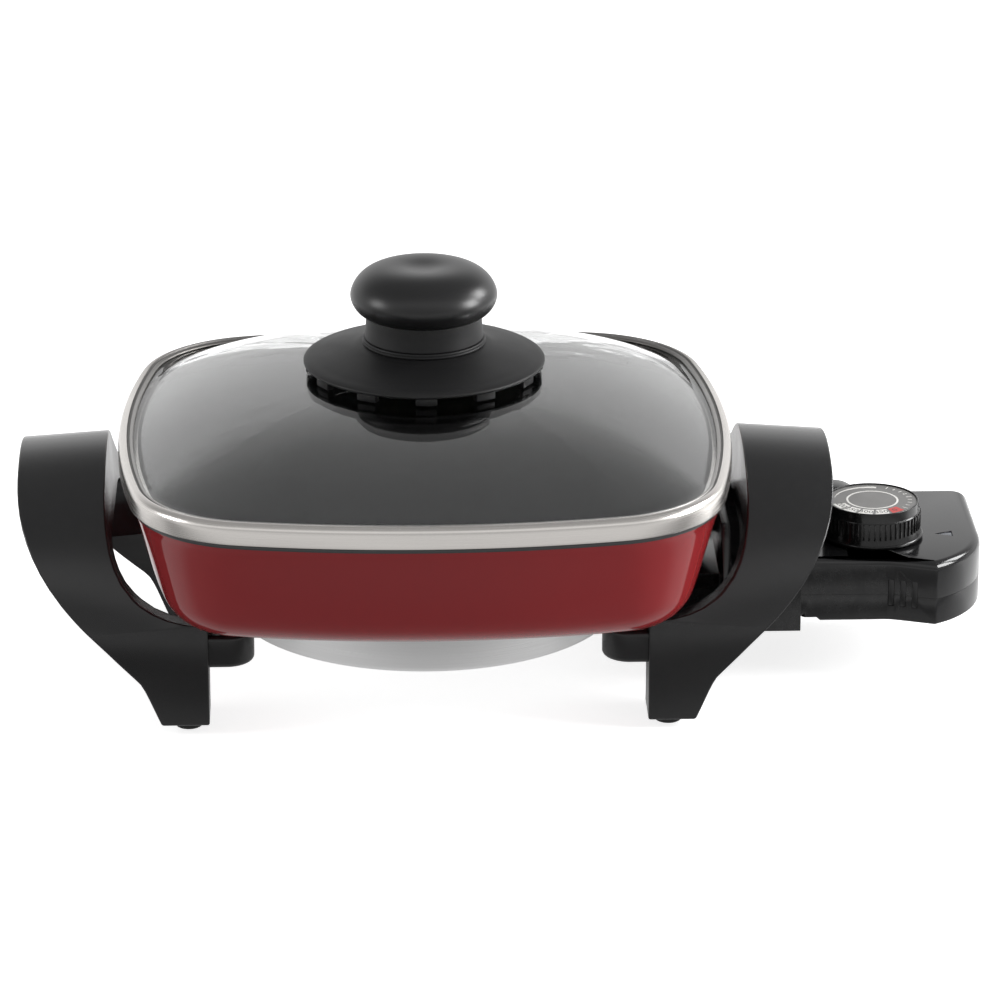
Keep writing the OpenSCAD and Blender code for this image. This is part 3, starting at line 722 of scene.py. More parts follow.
@dataclass(frozen=True)
class Coating:
    """A dark non-stick coating with faint light specks."""

    name: str
    colour: Colour
    speck: Colour
    gloss: Span = (0.55, 0.65)
    ior: float = 1.02

    def build(self, effects: Effects) -> Material:
        """Makes the finish as a material."""
        material, nodes, shader, place = new_shader(self.name)
        cells = nodes.add("TexVoronoi", {"Vector": place, "Scale": 420.0}).outputs["Distance"]
        specks = nodes.fit_range(cells, (0.10, 0.16), (0.3, 0.0))
        tone = nodes.group(effects.drift, {"Vector": place, "Colour": opaque(self.colour)})
        gloss = nodes.group(effects.smudge, {"Vector": place, "Least": self.gloss[0],
                                             "Most": self.gloss[1]})
        nodes.fill(shader, {"Base Color": nodes.blend(specks, tone, opaque(self.speck)),
                            "Roughness": gloss, "IOR": self.ior})
        return material


@dataclass(frozen=True)
class Clear:
    """Clear glass, which may be a little uneven."""

    name: str
    colour: Colour
    ior: float = 1.5
    ripple: float = 0.002

    def build(self, effects: Effects) -> Material:
        """Makes the finish as a material."""
        material, nodes, shader, place = new_shader(self.name)
        tone = nodes.group(effects.drift, {"Vector": place, "Amount": 0.02,
                                           "Colour": opaque(self.colour)})
        wave = nodes.noise(place, 25.0, 1.0)
        nodes.fill(shader, {"Base Color": tone, "Roughness": 0.0, "IOR": self.ior,
                            "Normal": nodes.bump(wave, self.ripple),
                            "Transmission Weight": 1.0})
        return material


class Finishes:
    """Every finish on the skillet, each made the first time that it is asked for."""

    ENAMEL = Solid("red_enamel", (0.262, 0.019, 0.022), (0.05, 0.09), 18.0, 260.0, 0.002, 0.05)
    COATING = Coating("nonstick_coating", (0.007, 0.007, 0.0075), (0.010, 0.010, 0.011))
    # A lighter, glossier grey on the pan's rim bead: the gloss is real, and the lighter grey is a
    # painted highlight for the light line along the bead.
    BEAD_PAINTED_HIGHLIGHT = Coating("bead_coating_painted_highlight", (0.05, 0.05, 0.052), (0.07, 0.07, 0.072), (0.16, 0.22), 1.5)
    HANDLE = Solid("black_phenolic", (0.010, 0.010, 0.0105), (0.20, 0.27), 22.0, 700.0, 0.002,
                   0.15, 0.25, (0.07, 0.07, 0.07))
    KNOB = Solid("satin_phenolic", (0.010, 0.010, 0.0105), (0.29, 0.35), 30.0, 1500.0, 0.004,
                 0.12, 0.2, (0.06, 0.06, 0.06))
    NECK = Solid("neck_phenolic", (0.009, 0.009, 0.0095), (0.44, 0.52), 30.0, 1500.0, 0.004,
                 0.12, 0.2, (0.05, 0.05, 0.05), 1.4)
    CONTROL = Solid("polished_phenolic", (0.008, 0.008, 0.0085), (0.13, 0.18), 26.0, 500.0,
                    0.001, 0.12, 0.2, (0.05, 0.05, 0.05))
    DIAL = Solid("dial_phenolic", (0.008, 0.008, 0.008), (0.12, 0.20), 60.0, 900.0, 0.004, 0.1,
                 0.25, (0.06, 0.06, 0.06))
    RUBBER = Solid("foot_rubber", (0.02, 0.02, 0.02), (0.62, 0.78), 120.0, 1400.0, 0.02, 0.2,
                   0.5, (0.07, 0.07, 0.065))
    CERAMIC = Solid("steatite", (0.70, 0.67, 0.60), (0.55, 0.70), 60.0, 1200.0, 0.015, 0.1, 0.3,
                    (0.5, 0.47, 0.42))
    PRINT = Solid("dial_face", (0.15, 0.147, 0.143), (0.30, 0.42), 90.0, 2500.0, 0.003, 0.1)
    WHITE_INK = Solid("white_ink", (0.74, 0.73, 0.70), (0.4, 0.5), 90.0, 2500.0, 0.002, 0.06)
    RED_INK = Solid("red_ink", (0.50, 0.05, 0.045), (0.4, 0.5), 90.0, 2500.0, 0.002, 0.06)
    BLACK_INK = Solid("black_ink", (0.03, 0.03, 0.03), (0.4, 0.5), 90.0, 2500.0, 0.002, 0.06)
    LENS = Solid("smoked_lens", (0.09, 0.095, 0.11), (0.10, 0.16), 200.0, 1200.0, 0.002, 0.05)
    SILICONE = Solid("milky_silicone", (0.55, 0.57, 0.56), (0.45, 0.55), 80.0, 900.0, 0.01, 0.05)
    STEEL_RIM = Metal("satin_steel", (0.74, 0.71, 0.68), (0.20, 0.30), Lay.DRAWN, 5200.0, 0.004,
                      rear_painted_shade=0.78)
    # Darker copies of the rim's steel: painted shade in the band's groove and on its inner lip
    # beside the glass.
    GROOVE_PAINTED_SHADE = Metal("band_groove_painted_shade", (0.22, 0.215, 0.21), (0.45, 0.6), Lay.CAST, 900.0, 0.002)
    LIP_PAINTED_SHADE = Metal("band_lip_painted_shade", (0.46, 0.45, 0.44), (0.38, 0.5), Lay.CAST, 900.0, 0.002,
                     rear_painted_shade=0.6)
    PLATED = Metal("zinc_plate", (0.62, 0.62, 0.61), (0.28, 0.40), Lay.CAST, 700.0, 0.006,
                   (0.55, 0.52, 0.42), 0.25)
    ELEMENT = Metal("element_sheath", (0.20, 0.19, 0.185), (0.45, 0.62), Lay.CAST, 500.0, 0.02,
                    (0.12, 0.08, 0.06), 0.6)
    CAST = Metal("cast_aluminium", (0.60, 0.61, 0.62), (0.42, 0.58), Lay.CAST, 450.0, 0.03)
    BRASS = Metal("machined_brass", (0.66, 0.50, 0.22), (0.25, 0.36), Lay.CAST, 900.0, 0.004,
                  (0.42, 0.27, 0.12), 0.35)
    GLASS = Clear("clear_glass", (0.95, 0.955, 0.955), ripple=0.0003)
    LAMP = Clear("lamp_glass", (0.95, 0.82, 0.70))

    def __init__(self, bench: Bench) -> None:
        """Builds the shared effects and the finishes that depend on a place."""
        self.effects = Effects()
        self.made: dict[str, Material] = {}
        axis = (bench.origin.x, bench.origin.y)
        self.spun = Metal("spun_aluminium", (0.88, 0.88, 0.88), (0.26, 0.40), Lay.TURNED, 2600.0,
                          0.006, axis=axis)

    def get(self, finish: Any) -> Material:
        """The material of a finish."""
        if finish.name not in self.made:
            self.made[finish.name] = finish.build(self.effects)
        return self.made[finish.name]

    def paint(self, piece: Piece, *finishes: Any) -> None:
        """Gives a piece its finishes, the first to all of its faces that name no other."""
        piece.data.materials.clear()
        for finish in finishes:
            piece.data.materials.append(self.get(finish))

    def complete(self, piece: Piece, look: Any, angle: float, bench: Bench, body: Body,
                 slot: str, *nodes: str) -> None:
        """Paints and shades a piece, and makes it part of the skillet.

        Args:
            piece: The piece.
            look: Its finish, or several of them in the order of its faces' numbers.
            angle: Edges sharper than this, in degrees, stay hard.
            bench: Where the piece was made.
            body: The body that it moves with.
            slot: Handed on to the bench's place.
            *nodes: The frame parts that it stands for.
        """
        self.paint(piece, *(look if isinstance(look, tuple) else (look,)))
        shade(piece, angle)
        bench.place(piece, body, slot, *nodes)

    def dress_frame(self, bench: Bench) -> None:
        """Gives every part of the frame the finish of its material slot."""
        by_slot = {
            "red_enamel": self.ENAMEL, "cast_aluminium": self.CAST, "spun_aluminium": self.spun,
            "element_steel": self.ELEMENT, "plated_steel": self.PLATED,
            "steel_rim": self.STEEL_RIM, "ceramic": self.CERAMIC, "black_phenolic": self.HANDLE,
            "black_rubber": self.RUBBER, "lid_glass": self.GLASS, "knob_plastic": self.KNOB,
            "clear_silicone": self.SILICONE, "brass": self.BRASS,
            "control_plastic": self.CONTROL, "pointer_lens": self.LENS, "lamp_glass": self.LAMP,
            "dial_plastic": self.DIAL, "dial_print": self.PRINT,
        }
        for subpart in bench.frame["record"]["subparts"]:
            part = bench.frame["nodes"][subpart["node"]]
            material = self.get(by_slot[subpart["material_slot"]])
            for index in range(len(part.data.materials)):
                part.data.materials[index] = material
            if not part.data.materials:
                part.data.materials.append(material)


# ---------------------------------------------------------------- pan, dish and feet


@dataclass
class PanUnit:
    """The enamelled pan and the spun dish under it."""

    pan_z: float = 42.0
    floor_z: float = 46.0
    bead_z: float = 82.1
    dish_z: float = 24.0
    dish_foot_r: float = 70.0
    dish_top_r: float = 76.0
    dish_bend_r: float = 3.0
    dish_t: float = 1.0
    stud_hole_r: float = 4.0
    duct_half: float = 22.5
    duct_z: float = 26.4

    def build(self, bench: Bench, finishes: Finishes) -> None:
        """Makes the pan and the dish."""
        self._pan(bench, finishes)
        self._dish(bench, finishes)

    def _pan(self, bench: Bench, finishes: Finishes) -> None:
        """The pan, red outside and dark non-stick inside."""
        pan = bench.copy_of("pan", "pan_body")
        with editing(pan):
            for side in (1, -1):
                pick(pan, Pick.FACES, lambda f, s=side: f.normal.z * s > 0.99999 and
                     f.calc_center_median().z < self.floor_z * MM and
                     f.calc_area() > 0.0)
                bpy.ops.mesh.dissolve_faces()
                for share in (0.93, 0.85, 0.7):
                    bpy.ops.mesh.extrude_region()
                    bpy.ops.transform.resize(value=(share, share, 1),
                                             center_override=bench.origin)
                bpy.ops.mesh.poke()
        subdivide(pan, 1)
        finishes.paint(pan, finishes.ENAMEL, finishes.COATING, finishes.BEAD_PAINTED_HIGHLIGHT)
        for face in pan.data.polygons:
            out = (face.center - bench.origin).xy.normalized()
            is_outside = face.normal.xy.dot(out) > 0.12 or face.normal.z < -0.5
            is_bead = face.center.z > self.bead_z * MM
            # Faces on the bead take the lighter grey: painted highlight.
            face.material_index = 2 if is_bead else 0 if is_outside else 1
        shade(pan, 60)
        bench.place(pan, Body.SKILLET, "red_enamel", "pan")

    def _dish(self, bench: Bench, finishes: Finishes) -> None:
        """The spun dish, open where the socket's duct comes in."""
        bend = (self.dish_foot_r - self.dish_bend_r, self.dish_z + self.dish_bend_r)
        top_z = self.pan_z - 0.1
        profile = [(self.stud_hole_r, self.dish_z), (9, self.dish_z), (9.8, self.dish_z + 0.5),
                   (24, self.dish_z + 0.5), (24.8, self.dish_z)]
        profile += arc(bend, self.dish_bend_r, -90, -15, 7)
        profile += [(self.dish_top_r, top_z), (self.dish_top_r - self.dish_t, top_z)]
        profile += arc(bend, self.dish_bend_r - self.dish_t, -15, -90, 5)
        profile += [(25.2, self.dish_z + self.dish_t), (24.2, self.dish_z + self.dish_t + 0.5),
                    (9.6, self.dish_z + self.dish_t + 0.5), (8.6, self.dish_z + self.dish_t),
                    (self.stud_hole_r, self.dish_z + self.dish_t), profile[0]]
        dish = bench.lathe("dish", profile, steps=144)
        opening = bench.block("opening", (60, 78), (-self.duct_half, self.duct_half),
                              (self.duct_z, 43))
        combine(dish, opening, Join.CUT)
        finishes.complete(dish, finishes.spun, 40, bench, Body.SKILLET,
                          "spun_aluminium", "base_cover")


@dataclass
class Feet:
    """The four rubber pads under the legs."""

    x: float = 83.6
    y: float = 55.0
    radius: float = 4.8
    leg_z: float = 3.2

    def build(self, bench: Bench, finishes: Finishes) -> None:
        """Makes the pads, each hollowed a little under its middle."""
        nodes = {"foot_front_left": (-1, -1), "foot_front_right": (1, -1),
                 "foot_rear_left": (-1, 1), "foot_rear_right": (1, 1)}
        round_r = 0.9
        profile = [(0, 0.35), (2.4, 0.35), (2.9, 0)]
        profile += arc((self.radius - round_r, round_r), round_r, -90, 0, 4)
        under, top = self.leg_z - 0.05, self.leg_z + 4
        profile += [(self.radius, under), (2.4, under), (2.4, top), (0, top)]
        for node, (side, end) in nodes.items():
            pad = bench.lathe(node + "_pad", profile, (side * self.x, end * self.y), 40)
            finishes.complete(pad, finishes.RUBBER, 32, bench, Body.SKILLET, "black_rubber", node)


# ---------------------------------------------------------------- handles and guard


@dataclass
class Handle:
    """A handle and its two legs: one arch, whose front view is a leaning hook."""

    side: int
    arch_z: float = 21.0
    arch_r: float = 64.0
    leg_face: float = 35.5
    leg_flare: float = 11.5
    leg_lean: float = 31.5
    flare_way: float = 85.0
    flare_run: float = 25.0
    opening_z: float = 61.2
    opening_r: float = 20.0
    crown_x: float = 131.0
    crown_tilt: float = 4.0
    tilt_run: float = 10.0
    edge_w: float = 0.75
    leg_z: float = 3.2
    leg_x: float = 76.2
    rise_z: float = 35.5
    level_z: float = 46.0
    crown_rows: int = 26
    columns: int = 4
    boss_x: float = 70.0
    boss_y: float = 52.0
    boss_r: float = 9.5
    boss_z: Span = (23.5, 35.4)
    boss_round: float = 1.8

    def _outer(self) -> list[Point]:
        """The outer line of the front view, from the foot up."""
        line = bezier((142.8, 82), (142.8, 62), (124, 39.5), (101.5, 20.5), 40)
        line += bezier((101.5, 20.5), (98.6, 18), (97.2, 13), (92.8, self.leg_z), 20)[1:]
        return line[::-1]

    def _inner(self, steps: int = 40) -> list[Point]:
        """The inner line of the front view above the leg, from the shelf up."""
        return bezier((self.leg_x, self.rise_z), (101, 38), (111, 52), (112, 76), steps)

    def _across(self, z: float, out: bool) -> float:
        """Where the side away from the pan, or the side next to it, stands at a height."""
        if out:
            return across(self._outer(), z)
        return across(self._inner(), z) if z > self.rise_z else self.leg_x

    def _half(self, z: float, out: bool) -> float:
        """Half the width of the opening between the legs.

        Args:
            z: The height asked for.
            out: Whether it is taken on the side away from the pan, where the legs are deeper.

        Returns:
            The distance from the middle to the leg's inner face.
        """
        x = self._across(z, out)
        lean = math.radians(self.leg_lean)
        way = x * math.cos(lean) - z * math.sin(lean)
        slanted = self.leg_face + self.leg_flare * (self.flare_way - way) / self.flare_run
        rise = max(z - (self.opening_z - self.opening_r), 0)
        shoulder = math.sqrt(max(self.opening_r ** 2 - rise ** 2, 0)) - self.opening_r
        return min(slanted, self.leg_face + self.leg_flare + shoulder)

    def _rows(self, out: bool) -> list[tuple[Point, Point]]:
        """The outer and the inner end (y, z) of each row of the front half, from the foot up.

        Args:
            out: Whether they are taken on the side away from the pan.

        Returns:
            The rows. They are level up to level_z, and above it they fan out to the crown.
        """
        levels = [self.leg_z, 4.6, 7.2, 10.4, 13.4, 16.2, 18.8, 21, 23.6, 26.4, 29.4, 32.4]
        levels += [z for _, z in self._inner(10)[:6]]
        levels = [z for z in levels if z < self.level_z] + [self.level_z]
        rows = []
        for z in levels:
            rise = max(z - self.arch_z, 0)
            reach = math.sqrt(self.arch_r ** 2 - rise * rise)
            rows.append(((reach, z), (self._half(z, out), z)))
        climb = self.opening_z - self.level_z
        heights = [self.opening_z - climb * math.cos(math.radians(9 * i)) for i in range(11)]
        inside = [(self._half(z, out), z) for z in heights] + [(0.0, self.opening_z)]
        way = [0.0]
        for (y0, z0), (y1, z1) in zip(inside, inside[1:]):
            way.append(way[-1] + math.hypot(y1 - y0, z1 - z0))
        places = [[(p[axis], w) for p, w in zip(inside, way)] for axis in (0, 1)]
        first = math.asin((self.level_z - self.arch_z) / self.arch_r)
        for step in range(1, self.crown_rows // 2 + 1):
            share = step / (self.crown_rows // 2)
            turn = first + (math.pi / 2 - first) * share
            outer = (self.arch_r * math.cos(turn), self.arch_z + self.arch_r * math.sin(turn))
            inner = (across(places[0], way[-1] * share), across(places[1], way[-1] * share))
            rows.append((outer, inner))
        return rows

    def _point(self, row: tuple[Point, Point], depth: float, front: bool, out: bool) -> Vector:
        """A point of the arch's skin, in millimetres.

        Args:
            row: The row's outer and inner end.
            depth: 0 at the outer end, 1 at the inner.
            front: Whether the point is in front of the arch's crown.
            out: Whether it is on the side away from the pan.

        Returns:
            The point, for the right handle.
        """
        y, z = Vector(row[0]).lerp(Vector(row[1]), depth)
        x = self._across(z, out)
        tilted = min(max((z - self.arch_z) / self.tilt_run, 0), 1) * (1 - depth)
        lift = (self.crown_x - x) * math.tan(math.radians(self.crown_tilt)) * tilted
        return Vector((x, -y if front else y, z + lift))

    def build(self, bench: Bench, finishes: Finishes) -> None:
        """Makes the handle, its legs and its two screw bosses as one moulding."""
        name = "right_handle" if self.side > 0 else "left_handle"
        halves = {out: self._rows(out) for out in (False, True)}
        count = len(halves[True])
        rows = [(i, True) for i in range(count)] + [(i, False) for i in range(count - 2, -1, -1)]
        bpy.ops.object.select_all(action="DESELECT")
        bpy.ops.mesh.primitive_grid_add(x_subdivisions=self.columns, y_subdivisions=len(rows) - 1,
                                        size=1)
        handle = bench.named(name + "_arch")
        with editing(handle):
            bpy.ops.mesh.select_all(action="SELECT")
            bpy.ops.mesh.extrude_region_move(TRANSFORM_OT_translate={"value": (0, 0, 1)})
        for index, vertex in enumerate(handle.data.vertices):
            column = round((vertex.co.x + 0.5) * self.columns)
            row, front = rows[round((vertex.co.y + 0.5) * (len(rows) - 1))]
            out = vertex.co.z > 0.5
            spot = self._point(halves[out][row], column / self.columns, front, out)
            vertex.co = bench.spot(self.side * spot.x, spot.y, spot.z)
        face_outwards(handle)
        bevel(handle, self.edge_w, 4, 40)
        for end in (-1, 1):
            combine(handle, self._boss(bench, end), Join.ADD)
            well = bench.drum("well", (self.side * self.boss_x, end * self.boss_y,
                                       self.boss_z[0] + 1.1), 4.6, 6.2, sides=40)
            combine(handle, well, Join.CUT)
        finishes.complete(handle, finishes.HANDLE, 38, bench, Body.SKILLET, "black_phenolic", name)

    def _boss(self, bench: Bench, end: int) -> Piece:
        """A boss with a round end, as wide as the web that ties it to the leg."""
        reach = self.leg_x + 4 - self.boss_x
        plan = arc((0, 0), self.boss_r, 90, 270, 28) + [(reach, -self.boss_r), (reach, self.boss_r)]
        plan = [(self.side * (self.boss_x + x), end * self.boss_y + y) for x, y in plan]
        boss = bench.prism("boss", plan, self.boss_z)
        bevel(boss, self.boss_round, 5)
        return boss


@dataclass
class SocketGuard:
    """The moulded tunnel round the two power pins, with wings to the right legs."""

    round_w: float = 0.7

    def build(self, bench: Bench, finishes: Finishes) -> None:
        """Makes the guard with softened edges."""
        guard = bench.copy_of("socket_guard", "pin_guard")
        with editing(guard):
            bpy.ops.mesh.select_all(action="SELECT")
            bpy.ops.mesh.dissolve_limited(angle_limit=math.radians(2))
        bevel(guard, self.round_w, 3, 50)
        finishes.complete(guard, finishes.CONTROL, 40, bench, Body.SKILLET,
                          "black_phenolic", "socket_guard")


# ---------------------------------------------------------------- lid and knob


@dataclass
class Lid:
    """The domed glass and the steel rim that grips its edge."""

    edge_w: float = 0.12
    half: float = 108.0
    side_r: float = 348.0
    corner_r: float = 45.8
    top_z: float = 91.6
    groove: Span = (3.1, 4.1)

    def _inset(self, place: Vector) -> float:
        """How far inside the lid's outline a point in millimetres lies."""
        x, y = abs(place.x), abs(place.y)
        shift = self.side_r - self.half
        reach = self.side_r - self.corner_r
        corner = (math.sqrt(2 * reach ** 2 - shift ** 2) - shift) / 2
        least = math.atan2(corner, corner + shift)
        if least < math.atan2(y - corner, x - corner) < math.pi / 2 - least:
            return self.corner_r - math.hypot(x - corner, y - corner)
        return self.side_r - math.hypot(max(x, y) + shift, min(x, y))

    def build(self, bench: Bench, finishes: Finishes) -> None:
        """Makes the glass and the rim."""
        glass = bench.copy_of("lid_glass", "glass_dome")
        subdivide(glass, 2)
        finishes.complete(glass, finishes.GLASS, 70, bench, Body.LID, "lid_glass", "lid_glass")
        rim = bench.copy_of("lid_rim", "steel_band")
        bevel(rim, self.edge_w, 2, 50)
        subdivide(rim, 1)
        finishes.paint(rim, finishes.STEEL_RIM, finishes.GROOVE_PAINTED_SHADE, finishes.LIP_PAINTED_SHADE)
        # Faces in the groove take the darkest steel and faces on the inner lip a darker steel, as
        # painted shade.
        for face in rim.data.polygons:
            place = (face.center - bench.origin) / MM
            inset = self._inset(place)
            if place.z > self.top_z - 2 and inset > self.groove[0]:
                face.material_index = 1 if inset < self.groove[1] else 2
        shade(rim, 50)
        bench.place(rim, Body.LID, "steel_rim", "lid_rim")


@dataclass
class Knob:
    """The lid's knob: a vented skirt, a neck and a cap."""

    glass_z: float = 112.95
    skirt_r: float = 42.5
    neck_r: float = 20.4
    cap_r: float = 25.8
    tabs: int = 12
    tab_turn: float = 10.2
    tab_r: Span = (38.6, 41.6)
    ring_z: float = 8.85
    cap_z: float = 19.35

    def build(self, bench: Bench, finishes: Finishes) -> None:
        """Makes the three mouldings."""
        self._skirt(bench, finishes)
        self._neck(bench, finishes)
        self._cap(bench, finishes)

    def _skirt(self, bench: Bench, finishes: Finishes) -> None:
        """A thin, slightly conical disc that stands over the glass on short tabs."""
        edge_z = self.glass_z + 2.2
        base_z = self.glass_z + 0.75
        r = self.skirt_r
        profile = [(7.2, base_z), (17, base_z), (19, edge_z), (24, edge_z + 0.7),
                   (r - 2, edge_z - 0.9), (r - 0.7, edge_z - 0.7)]
        profile += arc((r - 0.75, edge_z + 0.1), 0.75, -60, 70, 5)
        profile += [(r - 1.6, edge_z + 1.35)]
        profile += bezier((r - 3, edge_z + 1.6), (36, edge_z + 2.9), (30, edge_z + 4.0),
                          (24.5, edge_z + 5.6), 6)
        profile += [(22.4, edge_z + 6.6), (7.2, edge_z + 6.6), (7.2, base_z)]
        skirt = bench.lathe("knob_vented_skirt", profile, steps=128)
        tabs = []
        for k in range(self.tabs):
            turn = math.radians(-90 + 360 * k / self.tabs)
            half_w = math.radians(self.tab_turn / 2) * self.tab_r[1]
            tab = bench.block("tab", self.tab_r, (-half_w, half_w),
                              (self.glass_z - 1.05, edge_z + 0.6))
            bevel(tab, 0.35, 2)
            spin = (Matrix.Translation(bench.origin) @ Matrix.Rotation(turn, 4, "Z")
                    @ Matrix.Translation(-bench.origin))
            tab.data.transform(spin)
            tabs.append(tab)
        gather(skirt, tabs)
        finishes.complete(skirt, finishes.NECK, 35, bench, Body.LID, "knob_plastic", "knob_skirt")

    def _neck(self, bench: Bench, finishes: Finishes) -> None:
        """The round neck, with a stepped ring at its foot."""
        z0 = self.glass_z + self.ring_z
        z1 = self.glass_z + self.cap_z - 0.05
        r = self.neck_r
        profile = [(6, z0), (r + 0.9, z0)]
        profile += arc((r + 0.8, z0 + 0.5), 0.5, -60, 20, 3)
        profile += [(r + 1.05, z0 + 0.95)]
        profile += arc((r + 0.6, z0 + 1.5), 0.5, -20, 90, 4)
        profile += [(r - 0.1, z0 + 2.0), (r - 0.1, z0 + 2.25)]
        profile += bezier((r + 0.5, z0 + 2.35), (r + 0.45, z0 + 3.4), (r, z0 + 5.0),
                          (r - 0.1, z1), 6)
        profile += [(6, z1), (6, z0)]
        neck = bench.lathe("knob_neck", profile, steps=128)
        finishes.complete(neck, finishes.NECK, 30, bench, Body.LID, "knob_plastic", "knob_collar")

    def _cap(self, bench: Bench, finishes: Finishes) -> None:
        """The mushroom cap, dished at its top."""
        z = self.glass_z + self.cap_z
        r = self.cap_r
        profile = [(5.5, z), (19.6, z)]
        profile += bezier((19.6, z), (22.8, z), (r, z + 3.8), (r, z + 7), 14)[1:]
        profile += bezier((r, z + 7), (r, z + 9.2), (23.2, z + 17.4), (11, z + 17.4), 24)[1:]
        profile += bezier((11, z + 17.4), (6.5, z + 17.4), (4.6, z + 16.5), (0, z + 16.5), 8)[1:]
        profile += [(0, z + 9), (5.5, z + 9), (5.5, z)]
        cap = bench.lathe("knob_mushroom_cap", profile, steps=128)
        finishes.complete(cap, finishes.KNOB, 40, bench, Body.LID, "knob_plastic", "knob_cap")


# ---------------------------------------------------------------- heat control


